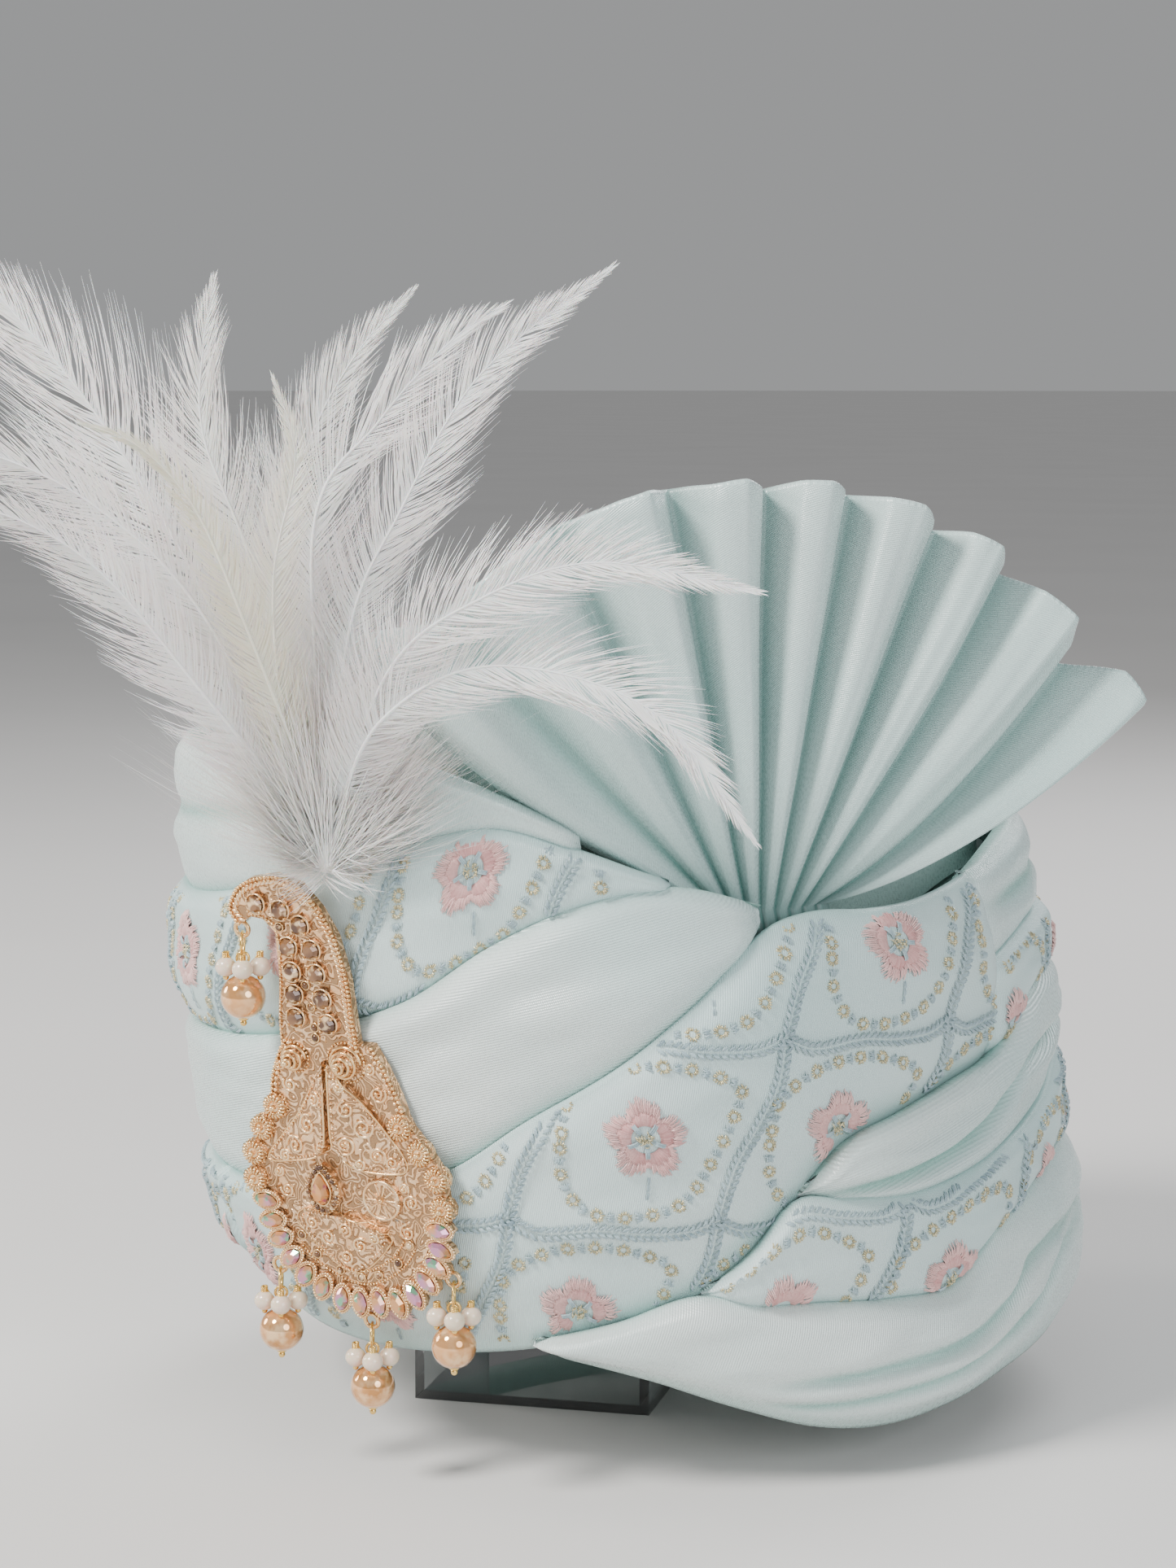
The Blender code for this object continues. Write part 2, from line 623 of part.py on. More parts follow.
def teardrop_outline(x, y, width, length):
    points = []
    for k in range(10):
        angle = math.tau * k / 10 + math.pi / 2
        narrow = 1.0 if math.sin(angle) < 0 else 1.0 - 0.55 * math.sin(angle)
        points.append((x + 0.5 * width * math.cos(angle) * narrow,
                       y + 0.5 * length * math.sin(angle)))
    return points


def leaf(rows):
    """Raised leaf whose rim has its own height at each corner."""
    shape = bmesh.new()
    reach = BROOCH_REACH
    foot = [shape.verts.new((x * reach, y * reach, 0.6 * PLATE_THICKNESS)) for x, y, h in rows]
    head = [shape.verts.new((x * reach, y * reach, PLATE_THICKNESS + SETTING_HEIGHT * (h - 0.9)))
            for x, y, h in rows]
    count = len(rows)
    for k in range(count):
        after = (k + 1) % count
        shape.faces.new((foot[k], foot[after], head[after], head[k]))
    top = Vector((0, 0, 0))
    for corner in head:
        top += corner.co
    centre = shape.verts.new(top / count + Vector((0, 0, 0.12 * SETTING_HEIGHT)))
    for k in range(count):
        shape.faces.new((head[k], head[(k + 1) % count], centre))
    shape.faces.new(list(reversed(foot)))
    return shape


def ring_shape(centre, radius, wire, side, rise, around=12, sides=6):
    """Closed wire ring in the plane of two directions."""
    loops = []
    facing = side.cross(rise)
    for k in range(around):
        angle = math.tau * k / around
        spoke = side * math.cos(angle) + rise * math.sin(angle)
        loops.append([centre + spoke * (radius + wire * math.cos(math.tau * j / sides))
                      + facing * (wire * math.sin(math.tau * j / sides)) for j in range(sides)])
    return skin(loops, closed=True)


def ball_shape(centre, radius, around=10, rows=6):
    shape = bmesh.new()
    bmesh.ops.create_uvsphere(shape, u_segments=around, v_segments=rows, radius=1.0)
    scale = Vector(radius) if isinstance(radius, tuple) else Vector((radius, radius, radius))
    for corner in shape.verts:
        corner.co = centre + Vector((corner.co.x * scale.x, corner.co.y * scale.y,
                                     corner.co.z * scale.z))
    return shape


def rod_shape(start, end, radius, sides=6):
    along = (end - start).normalized()
    side = along.orthogonal().normalized()
    other = along.cross(side)
    loops = []
    for point in (start, end):
        loops.append([point + side * (radius * math.cos(math.tau * k / sides))
                      + other * (radius * math.sin(math.tau * k / sides)) for k in range(sides)])
    return skin(loops)


def fuse(name, shapes, finish, solver="EXACT"):
    """Union of closed shapes into one body."""
    pieces = bpy.data.collections.new(name + "_pieces")
    made = []
    for number, shape in enumerate(shapes):
        made.append(object_from("%s_piece_%02d" % (name, number), shape, finish, smooth=False))
    body = made[0]
    for piece in made[1:]:
        bpy.context.scene.collection.objects.unlink(piece)
        pieces.objects.link(piece)
    union = body.modifiers.new("union", "BOOLEAN")
    union.operation = "UNION"
    union.operand_type = "COLLECTION"
    union.collection = pieces
    union.solver = solver
    bpy.context.view_layer.update()
    graph = bpy.context.evaluated_depsgraph_get()
    fused = bpy.data.meshes.new_from_object(body.evaluated_get(graph))
    shape = bmesh.new()
    shape.from_mesh(fused)
    bmesh.ops.remove_doubles(shape, verts=shape.verts, dist=0.000002)
    bmesh.ops.dissolve_degenerate(shape, dist=0.000002, edges=shape.edges)
    for piece in made:
        bpy.data.objects.remove(piece, do_unlink=True)
    bpy.data.collections.remove(pieces)
    return object_from(name, shape, finish)


def moved(shape, matrix):
    bmesh.ops.transform(shape, matrix=matrix, verts=shape.verts)
    return shape


def scaled(row):
    return row[0] * BROOCH_REACH, row[1] * BROOCH_REACH


def brooch_shapes():
    """The cast parts of the brooch in its own flat frame."""
    top = PLATE_THICKNESS
    body = [scaled(row) for row in BODY_OUTLINE]
    shapes = [prism(body, 0, top, 0.985)]
    shapes.append(prism([scaled(row) for row in HOOK_OUTLINE], 0.0001, top * 1.12))
    shapes += [leaf(LEAF_LEFT), leaf(LEAF_RIGHT), leaf(LEAF_LOWER)]
    for row in ROSETTES:
        x, y = scaled(row)
        shapes.append(prism(circle(x, y, ROSETTE_RADIUS, 10, 0.1), 0.0002, top * 1.35, 0.94))
        shapes.append(prism(circle(x, y, 0.34 * ROSETTE_RADIUS, 6), top, top + 0.0026, 0.35))
    for x, y, radius in CONES:
        wide = radius * BROOCH_REACH
        place = (x * BROOCH_REACH, y * BROOCH_REACH)
        shapes.append(prism(circle(*place, wide, 12, 0.05), 0.5 * top, top + 0.0028, 0.62))
        shapes.append(prism(circle(*place, 0.5 * wide, 6), top + 0.002, top + 0.0052, 0.35))
    for row in ROUND_STONES:
        x, y = scaled(row)
        shapes.append(prism(circle(x, y, 1.12 * ROUND_STONE_RADIUS, 10, 0.2), 0.5 * top,
                            SETTING_HEIGHT, 0.97))
    for across, rise, degrees in MARQUISES:
        outline = almond(across * BROOCH_REACH, rise * BROOCH_REACH, 1.22 * MARQUISE_LENGTH,
                         1.25 * MARQUISE_WIDTH, degrees)
        shapes.append(prism(outline, 0.0003, SETTING_HEIGHT, 0.97))
    x, y = scaled(TEARDROP)
    shapes.append(prism(teardrop_outline(x, y, 2.1 * TEARDROP_SIZE[0], 1.65 * TEARDROP_SIZE[1]),
                        0.5 * top, SETTING_HEIGHT + 0.0012, 0.92))
    wheel_x, wheel_y, wheel_radius = (value * BROOCH_REACH for value in WHEEL)
    shapes.append(prism(circle(wheel_x, wheel_y, wheel_radius, 14), 0.5 * top, top + 0.0009, 0.9))
    for row in EYELETS:
        x, y = scaled(row)
        shapes.append(ring_shape(Vector((x, y, 0.5 * top)), EYELET_RADIUS, EYELET_WIRE,
                                 Vector((1, 0, 0)), Vector((0, 1, 0)), 12, 5))
    return shapes


def brooch(finish):
    place = brooch_matrix()
    shapes = [moved(shape, place) for shape in brooch_shapes()]
    return fuse("brooch_plate", shapes, finish)


def cut_stone(name, outline, foot, rise, finish):
    """Faceted stone: a girdle, a ring of crown facets and a flat table."""
    shape = bmesh.new()
    middle = Vector((sum(p[0] for p in outline), sum(p[1] for p in outline), 0)) / len(outline)
    levels = ((0.96, foot), (1.0, foot + 0.35 * rise), (0.62, foot + rise))
    loops = []
    for share, height in levels:
        loop = []
        for x, y in outline:
            flat = middle.lerp(Vector((x, y, 0)), share)
            loop.append(shape.verts.new((flat.x, flat.y, height)))
        loops.append(loop)
    join_loops(shape, loops, closed=False)
    shape.faces.new(loops[-1])
    shape.faces.new(list(reversed(loops[0])))
    return object_from(name, moved(shape, brooch_matrix()), finish, smooth=False)


def stones(smoky, iridescent, amber):
    foot = SETTING_HEIGHT + STONE_GAP
    for number, row in enumerate(ROUND_STONES, 1):
        x, y = scaled(row)
        cut_stone("round_stone_%02d" % number, circle(x, y, ROUND_STONE_RADIUS, 8, 0.2),
                  foot, 0.0016, smoky)
    for number, (across, rise, degrees) in enumerate(MARQUISES, 1):
        outline = almond(across * BROOCH_REACH, rise * BROOCH_REACH, MARQUISE_LENGTH,
                         MARQUISE_WIDTH, degrees)
        cut_stone("marquise_stone_%02d" % number, outline, foot, 0.0016, iridescent)
    x, y = scaled(TEARDROP)
    cut_stone("teardrop_stone", teardrop_outline(x, y, *TEARDROP_SIZE),
              SETTING_HEIGHT + 0.0012 + STONE_GAP, 0.0026, amber)


# Drops on jump rings

def drop(number, row, metal, glass, pearl):
    """A jump ring through an eyelet, a glass ball on it and three pearls round its neck."""
    place = brooch_matrix()
    x, y = scaled(row)
    eye = place @ Vector((x, y, 0.5 * PLATE_THICKNESS))
    low = place @ Vector((x, y - EYELET_RADIUS, 0.5 * PLATE_THICKNESS))
    down = Vector((0, 0, -1))
    rise = Vector((0, 0, 1))
    side = (place.to_3x3() @ Vector((0.5, 0, 1))).normalized()
    side = (side - rise * side.z).normalized()
    other = side.cross(rise)
    rest = low + rise * (EYELET_WIRE + RING_WIRE + LINK_GAP)
    rest = Vector((0.5 * (eye.x + low.x), 0.5 * (eye.y + low.y), rest.z))
    ring_middle = rest + down * RING_RADIUS
    object_from("jump_ring_%d" % number,
                ring_shape(ring_middle, RING_RADIUS, RING_WIRE, side, rise, 12, 5), metal)
    loop_middle = ring_middle + down * (RING_RADIUS - 2 * RING_WIRE - LINK_GAP + LOOP_RADIUS)
    neck_top = loop_middle + down * LOOP_RADIUS
    ball_middle = neck_top + down * (NECK_LENGTH + 0.97 * BALL_RADIUS)
    tip = ball_middle + down * (BALL_RADIUS + 0.0016)
    fuse("glass_drop_%d" % number, [
        ball_shape(ball_middle, BALL_RADIUS, 12, 6),
        rod_shape(neck_top + rise * 0.0001, ball_middle, NECK_RADIUS, 5),
        rod_shape(ball_middle, tip, 1.6 * NECK_RADIUS, 5),
        ring_shape(loop_middle, LOOP_RADIUS, LOOP_WIRE, other, rise, 10, 5),
    ], glass)
    hub_radius = NECK_RADIUS + LINK_GAP + HUB_WIRE
    hub = neck_top + down * (0.45 * NECK_LENGTH)
    shapes = [ring_shape(hub, hub_radius, HUB_WIRE, side, other, 10, 5)]
    for degrees in PEARL_TURNS:
        angle = math.radians(degrees)
        spoke = side * math.cos(angle) + other * math.sin(angle)
        pearl_middle = hub + spoke * PEARL_REACH + rise * PEARL_RISE
        shapes.append(ball_shape(pearl_middle, PEARL_RADIUS, 10, 5))
    fuse("pearl_cluster_%d" % number, shapes, pearl)


# Plume

def plume_axes():
    facing = math.radians(PLUME_FACING)
    across = Vector((math.cos(facing), math.sin(facing), 0))
    out = Vector((math.sin(facing), -math.cos(facing), 0))
    return across, Vector((0, 0, 1)), out


def curve_points(rows, count):
    """Even points on a smooth curve through the rows."""
    points = []
    last = len(rows) - 1
    for k in range(count + 1):
        place = k / count * last
        index = min(int(place), last - 1)
        share = place - index
        before = rows[max(index - 1, 0)]
        first = rows[index]
        second = rows[index + 1]
        after = rows[min(index + 2, last)]
        points.append(0.5 * ((2 * first) + (second - before) * share
                             + (2 * before - 5 * first + 4 * second - after) * share ** 2
                             + (3 * first - before - 3 * second + after) * share ** 3))
    return points


def feather_strip(head, root_offset, rows, half_width, forward):
    across, rise, out = plume_axes()
    origin = surface_point(FEATHER_TURN, FEATHER_LEVEL, FEATHER_STANDOFF)
    line = [head + across * root_offset[0] + out * root_offset[1]]
    for side, up in rows:
        away = math.hypot(side, up)
        line.append(origin + (across * side + rise * up + out * (forward * away)) * PLUME_LENGTH)
    line = curve_points(line, FEATHER_SECTIONS)
    loops = []
    for k, point in enumerate(line):
        along = (line[min(k + 1, len(line) - 1)] - line[max(k - 1, 0)]).normalized()
        side = along.cross(out).normalized()
        face = side.cross(along)
        share = k / (len(line) - 1)
        wide = half_width * PLUME_LENGTH * (0.30 + 0.70 * math.sin(math.pi * share ** 0.8))
        wide *= 1 - 0.5 * share ** 3
        thin = 0.5 * FEATHER_THICKNESS
        loops.append([point + side * wide, point + face * thin, point - side * wide,
                      point - face * thin])
    return skin(loops)


def plume(finish):
    stand = PLUME_HEAD[0] + PLUME_STANDOFF
    head = surface_point(PLUME_TURN, PLUME_LEVEL, stand)
    shapes = [ball_shape(head, PLUME_HEAD, 12, 8)]
    middle = 0.5 * (len(FEATHERS) - 1)
    for number, (rows, half_width, forward) in enumerate(FEATHERS):
        spread = (number - middle) / middle
        turned = math.radians(GOLDEN_ANGLE * number)
        root_offset = (ROOT_SPREAD * (spread + 0.4 * math.cos(turned)),
                       ROOT_SPREAD * math.sin(turned))
        root = head + Vector((0, 0, (0.15 + 0.02 * number) * PLUME_HEAD[2]))
        shapes.append(feather_strip(root, root_offset, rows, half_width, forward))
    return fuse("feather_plume", shapes, finish, solver="MANIFOLD")


# Riser

def riser(finish):
    """Clear sleeve that stands inside the turban: foot, two walls and a top."""
    half = 0.5 * RISER_WIDTH
    deep = 0.5 * RISER_DEPTH
    high = CROWN_HOLLOW_TOP - RISER_GAP
    inner = half - RISER_WALL
    loops = []
    for y in (-deep, deep):
        outside = [(-half, y, 0), (half, y, 0), (half, y, high), (-half, y, high)]
        inside = [(-inner, y, RISER_WALL), (inner, y, RISER_WALL),
                  (inner, y, high - RISER_WALL), (-inner, y, high - RISER_WALL)]
        loops.append((outside, inside))
    place = Matrix.Translation((*RISER_PLACE, 0)) @ Matrix.Rotation(math.radians(RISER_TURN), 4, "Z")
    shape = bmesh.new()
    made = [[[shape.verts.new(p) for p in ring] for ring in pair] for pair in loops]
    for k in range(4):
        after = (k + 1) % 4
        for ring in (0, 1):
            shape.faces.new((made[0][ring][k], made[0][ring][after],
                             made[1][ring][after], made[1][ring][k]))
        for end in (0, 1):
            shape.faces.new((made[end][0][k], made[end][0][after],
                             made[end][1][after], made[end][1][k]))
    return object_from("riser_stand", moved(shape, place), finish, smooth=False)


def build():
    clear_scene()
    satin = material("ice_satin", (0.72, 0.84, 0.82), 0.38)
    embroidered = material("embroidered_silk", (0.66, 0.80, 0.80), 0.48)
    padding = material("wound_cloth", (0.76, 0.86, 0.84), 0.7)
    tissue = material("gold_tissue", (0.78, 0.76, 0.60), 0.35, 0.3)
    gold = material("rose_gold", (0.86, 0.62, 0.42), 0.3, 0.9)
    wire = material("gold_wire", (0.85, 0.60, 0.20), 0.25, 1.0)
    smoky = material("smoky_stone", (0.30, 0.17, 0.07), 0.08)
    iridescent = material("iridescent_stone", (0.80, 0.60, 0.52), 0.08)
    amber = material("amber_glass", (0.85, 0.55, 0.32), 0.08)
    pearl = material("pearl", (0.90, 0.85, 0.76), 0.25)
    feather = material("white_feather", (0.92, 0.88, 0.86), 0.8)
    clear = material("clear_acrylic", (0.85, 0.88, 0.90), 0.05, alpha=0.25)

    wound_core(padding)
    crown(satin)
    tissue_fold(tissue)
    wrap("wrap_top_satin", 100.6, 397, TOP_LAP, RIM, PLAIN_SECTION, satin)
    wrap("wrap_upper_embroidered", 100.6, 409, UPPER_LAP, TOP_LAP, PLAIN_SECTION, embroidered)
    wrap("wrap_middle_satin", 65, 425, LOWER_LAP, UPPER_LAP, PLAIN_SECTION, satin)
    wrap("wrap_inner_embroidered", 51, 335, BASE_LAP, LOWER_LAP, PLAIN_SECTION, embroidered)
    wrap("wrap_lower_embroidered", 335.5, 460, TUCK_LAP, LOWER_LAP, HEM_SECTION, embroidered)
    wrap("wrap_base_satin", 29, 296, HEM, BASE_LAP, BASE_SECTION, satin)
    pleated_fan(satin)
    brooch(gold)
    stones(smoky, iridescent, amber)
    for number, row in enumerate(EYELETS, 1):
        drop(number, row, wire, amber, pearl)
    plume(feather)
    riser(clear)


build()
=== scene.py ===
"""Looks of the tied turban with its brooch, feather plume and clear riser.

Metres, +Z up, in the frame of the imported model. The wearer faces -Y and the
wearer's left is +X. A turn is an angle round the head: 0 at the front, 90 at
the wearer's left. The sizes and laps are those of the part's source.
"""
import json
import math
import random

import bpy
from mathutils import Matrix, Vector, noise
from mathutils.bvhtree import BVHTree

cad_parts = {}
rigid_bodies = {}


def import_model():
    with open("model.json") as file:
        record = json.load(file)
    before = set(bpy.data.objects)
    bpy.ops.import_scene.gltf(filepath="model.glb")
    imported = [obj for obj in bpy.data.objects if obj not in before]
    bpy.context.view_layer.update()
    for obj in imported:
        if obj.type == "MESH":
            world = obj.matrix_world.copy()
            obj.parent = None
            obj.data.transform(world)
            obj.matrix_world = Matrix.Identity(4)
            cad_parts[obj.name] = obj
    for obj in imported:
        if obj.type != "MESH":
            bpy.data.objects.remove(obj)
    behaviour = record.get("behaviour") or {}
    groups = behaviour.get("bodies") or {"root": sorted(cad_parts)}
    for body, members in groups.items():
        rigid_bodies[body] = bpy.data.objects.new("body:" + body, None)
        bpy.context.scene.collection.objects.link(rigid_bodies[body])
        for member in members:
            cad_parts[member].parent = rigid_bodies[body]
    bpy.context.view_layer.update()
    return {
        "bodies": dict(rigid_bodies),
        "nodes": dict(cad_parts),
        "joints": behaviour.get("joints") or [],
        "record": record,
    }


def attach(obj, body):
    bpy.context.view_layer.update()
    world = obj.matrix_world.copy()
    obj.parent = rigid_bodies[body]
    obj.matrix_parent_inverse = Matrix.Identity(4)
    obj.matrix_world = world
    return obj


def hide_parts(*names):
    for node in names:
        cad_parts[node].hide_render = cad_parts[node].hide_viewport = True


UP = Vector((0, 0, 1))

# Turban body
HALF_WIDTH = 0.1215
HALF_DEPTH = 0.135
WRAP_HEIGHT = 0.200
LEAN = 0.18
LEAN_LEVEL = 0.085
TOP_DRAW = 0.011
TOP_DRAW_LEVEL = 0.135
HEAD_HALF_WIDTH = 0.0785
HEAD_HALF_DEPTH = 0.098
WRAP_THICKNESS = 0.0085
CORE_GAP = 0.0008
CORE_INSET_TOP = 0.012
CORE_INSET_HEM = 0.005
CORE_WAIST = 0.35
CORE_RELIEF = 0.0020
CORE_STRIPS = 5            # strips seen inside, and how far each stands over the next
CORE_STRIP_DEPTH = 0.0022
TURN_LENGTH = 0.002234     # cloth along the wraps for one degree
WRAP_STEP = 1.25           # degrees from one section of a wrap to the next
WRAP_ROWS = 34
ROW_CROWDING = 0.06        # draws a wrap's rows towards its two edges

# Crown and tissue
CROWN_TOP = 0.224
CROWN_HOLLOW_TOP = 0.190
CROWN_GAP = 0.0008
CROWN_SLACK = 0.12
CROWN_POWER = 3.6
CROWN_FOLD = 0.0030
HOLLOW_FLAT = 0.85
CROWN_INSET = 0.0060
CROWN_SHARE_AT_FAN = 0.46
TISSUE_INSET = 0.0098
TISSUE_RISE = 0.011
TISSUE_TURNS = (252, 387)
TISSUE_STEPS = 180
TISSUE_ROWS = 9
TISSUE_RIPPLE = 0.0014
TISSUE_EDGE = 0.0018

# Pleated fan
FAN_RADIUS = 0.118
FAN_TURN = 66.0
FAN_ROOT_LEVEL = 0.155
FAN_FACING = 56.0
FAN_LEAN = 6.0
FAN_THICKNESS = 0.0024
FAN_ROOT_INSET = 0.0125
FAN_INSET = 0.0085
FAN_ROOT_TURNS = (58.0, 77.0)
FAN_ROOT_RISE = (-0.0040, 0.0030)
FAN_SEAT_GAP = 0.0012
FAN_ROOT_SWING = 0.0010
FAN_RIM_SWING = 0.0085
FAN_RINGS = 26
FAN_STEPS = 7              # sections from one fold line to the next

# Brooch
BROOCH_REACH = 0.062
BROOCH_TURN = 9.0
BROOCH_LEVEL = 0.108
BROOCH_STANDOFF = 0.0010
BROOCH_FACING = 14.0
BROOCH_DIP = 10.0
PLATE_THICKNESS = 0.0020
SETTING_HEIGHT = 0.0030
ROUND_STONE_RADIUS = 0.0025
MARQUISE_LENGTH = 0.0070
MARQUISE_WIDTH = 0.0042
ROSETTE_RADIUS = 0.0037
EYELET_RADIUS = 0.0020
EYELET_WIRE = 0.00055
MISSED_PLATE = 0.0010      # height of a form that stands beside the plate
CAST_HEIGHT = 0.02         # the plate's surface is looked for from here
SCROLL_WIRE = 0.00042
SCROLL_POINTS = 34
SCROLL_WINDING = 3.4       # half turns of one scroll
ROSETTE_RIBS = 18
CONE_POINTS = 80
CONE_WINDING = 3.5
CONE_RISE = 0.0046
WHEEL_SPOKES = 10
ROPE_BEADS = (0.00118, 0.00060)         # rows of beads: pitch, radius
HOOK_BEADS = (0.0011, 0.00045)
EDGE_BEADS = (0.0013, 0.00060)
WIDE_BEADS = (0.0017, 0.00065)
VEIN_BEADS = (0.0012, 0.00030)
ROSETTE_BEADS = (0.00085, 0.00036)
CONE_BEADS = (0.0011, 0.00042)
ARC_BEADS = (0.0010, 0.00038)
MILGRAIN = (0.00082, 0.00044)
HALO_STONES = (0.00165, (0.00078, 0.00078, 0.00060))
HALO_BEADS = (0.000825, 0.00030)
HOOK_LEAVES = (0.0014, (0.00135, 0.00055, 0.00055))
CLAW = (0.00042, 0.00042, 0.00080)
SMALL_STONE = (0.00105, 0.00105, 0.00075)
LEAF_WIRE = 0.00032
CONE_WIRE = 0.00048
RIM_WIRE = 0.00026
WHEEL_WIRES = (0.00042, 0.00030)        # tyre, spoke
RIB_RADII = [0.00022, 0.00030, 0.00036, 0.00040, 0.00040]

# Drops
RING_RADIUS = 0.0033
RING_WIRE = 0.0004
LOOP_RADIUS = 0.0016
LOOP_WIRE = 0.0004
BALL_RADIUS = 0.0060
PEARL_RADIUS = 0.0028
HUB_WIRE = 0.0006
PEARL_REACH = 0.0045
PEARL_RISE = 0.0006
PEARL_TURNS = (-95.0, -5.0, 88.0)
NECK_LENGTH = 0.0028
NECK_RADIUS = 0.0006
LINK_GAP = 0.0003
COIL_WIRE = 0.00030

# Plume
PLUME_LENGTH = 0.155
PLUME_TURN = 11.5
PLUME_LEVEL = 0.178
FEATHER_TURN = 9.0
FEATHER_LEVEL = 0.170
FEATHER_STANDOFF = 0.014
PLUME_HEAD = (0.0070, 0.0075, 0.0110)
PLUME_STANDOFF = 0.0004
PLUME_FACING = 42.0
BARB_PITCH = 0.00027
BARB_WIDTH = 0.00028
SHAFT_SPANS = 60
SHAFT_RADIUS = 0.00055
DOWN_STRANDS = 11000
DOWN_WIDTH = 0.00024
LOOSE_WIDTH = 0.00018

# Camera and light
CAMERA_AZIMUTH = 42.0
CAMERA_PITCH = 7.0
CAMERA_PLACE = (0.66802, -0.76367, 0.30215)
CAMERA_LENS = 80.0
LIGHTS = (  # name, place, target, size, power, colour
    ("key_light", (-0.20, -1.30, 1.25), (0.0, 0.0, 0.12), 0.50, 40, (1.0, 0.97, 0.93)),
    ("fill_light", (1.5, -0.55, 0.65), (0.0, 0.0, 0.12), 0.9, 12, (0.95, 0.97, 1.0)),
    ("left_light", (-1.3, -0.7, 0.55), (0.0, 0.0, 0.12), 0.5, 9, (1.0, 0.96, 0.90)),
    ("back_light", (-0.2, 1.3, 1.1), (0.0, 0.0, 0.15), 0.9, 14, (0.97, 0.98, 1.0)),
)
WORLD_COLOUR = (0.86, 0.87, 0.88, 1)
WORLD_STRENGTH = 0.40

# Heights of the laps between wraps, as shares of WRAP_HEIGHT
RIM = (  # turn, level
    (100, 0.800), (112, 0.830), (126, 0.845), (160, 0.865), (200, 0.900), (240, 0.930),
    (280, 0.955), (320, 0.980), (360, 0.990), (382, 0.985), (394, 0.945), (404, 0.895),
    (416, 0.835), (426, 0.797), (436, 0.778), (448, 0.780), (460, 0.800),
)
TOP_LAP = (
    (98, 0.670), (112, 0.705), (128, 0.712), (160, 0.722), (200, 0.738), (250, 0.755),
    (300, 0.765), (336, 0.775), (360, 0.818), (378, 0.872), (392, 0.906), (402, 0.880),
    (412, 0.840), (420, 0.815),
)
UPPER_LAP = (
    (60, 0.352), (66, 0.413), (72, 0.468), (80, 0.495), (90, 0.524), (100, 0.548),
    (110, 0.606), (124, 0.632), (160, 0.612), (200, 0.592), (250, 0.576), (300, 0.572),
    (336, 0.580), (360, 0.612), (378, 0.672), (390, 0.750), (402, 0.806), (414, 0.826),
    (426, 0.792),
)
LOWER_LAP = (
    (48, 0.262), (52, 0.286), (58, 0.332), (64, 0.396), (70, 0.392), (80, 0.383),
    (90, 0.394), (100, 0.418), (112, 0.448), (128, 0.488), (160, 0.476), (200, 0.440),
    (250, 0.396), (300, 0.376), (336, 0.374), (360, 0.392), (380, 0.440), (392, 0.518),
    (404, 0.592), (414, 0.672), (424, 0.760), (431, 0.782), (440, 0.778), (448, 0.780),
    (460, 0.800), (472, 0.830),
)
BASE_LAP = (
    (24, 0.203), (30, 0.214), (40, 0.240), (50, 0.274), (58, 0.256), (66, 0.250),
    (76, 0.240), (86, 0.240), (96, 0.300), (110, 0.350), (128, 0.362), (160, 0.354),
    (200, 0.326), (250, 0.286), (300, 0.252),
)
HEM = (
    (0, 0.190), (12, 0.190), (28, 0.205), (42, 0.172), (54, 0.122), (64, 0.084),
    (74, 0.070), (86, 0.080), (98, 0.100), (128, 0.126), (160, 0.138), (200, 0.156),
    (250, 0.190), (300, 0.232), (336, 0.256), (350, 0.205), (360, 0.190),
)
TUCK_LAP = (
    (335, 0.256), (350, 0.205), (360, 0.190), (372, 0.190), (388, 0.208), (396, 0.231),
    (400, 0.242), (408, 0.268), (414, 0.298), (420, 0.352), (426, 0.413), (432, 0.468),
    (440, 0.495), (450, 0.524), (460, 0.548), (470, 0.606),
)

# Cross sections of a wrap: share of its width, share of its thickness
BASE_SECTION = ((0.0, -0.76), (0.08, -0.34), (0.22, 0.02), (0.50, 0.24), (0.88, 0.12), (1.0, -0.32))
PLAIN_SECTION = ((0.0, -0.72), (0.10, -0.30), (0.34, -0.04), (0.66, 0.0), (0.90, 0.03), (1.0, -0.32))
HEM_SECTION = ((0.0, -0.94), (0.08, -0.62), (0.22, -0.30), (0.50, -0.05), (0.88, 0.03), (1.0, -0.32))

# Creases in the satin: turn, level as a share of WRAP_HEIGHT
MIDDLE_CREASE = (
    (68, 0.405), (75, 0.410), (83, 0.423), (92, 0.451), (100, 0.492), (106, 0.530),
    (128, 0.556), (170, 0.545), (230, 0.500), (300, 0.470),
)
BASE_CREASE = (
    (60, 0.150), (77, 0.157), (87, 0.172), (94, 0.203), (100, 0.250), (112, 0.275), (160, 0.280),
)
BASE_CREASE_LOW = (
    (56, 0.120), (68, 0.111), (79, 0.118), (90, 0.139), (102, 0.180), (110, 0.245), (130, 0.260),
)
TOP_CREASE = ((104, 0.760), (130, 0.790), (180, 0.800), (260, 0.850), (330, 0.890), (370, 0.920))

# Pleats from the front to the back: angle in degrees, reach as a share of FAN_RADIUS
PLEATS = (  # valley angle, valley reach, ridge angle, ridge reach, sag
    (148.5, 1.00, 143.0, 1.06, -0.05),
    (137.0, 1.00, 128.0, 1.03, 0.00),
    (119.0, 1.00, 109.5, 1.02, 0.00),
    (104.0, 0.98, 97.5, 1.00, 0.00),
    (91.5, 0.95, 86.0, 0.99, 0.00),
    (80.0, 0.95, 74.0, 0.98, 0.00),
    (67.0, 0.93, 61.5, 0.97, -0.01),
    (55.5, 0.92, 48.0, 0.95, -0.03),
    (39.5, 0.87, 31.5, 0.97, -0.07),
)
FAN_LAST = (28.0, 0.95, -0.05)

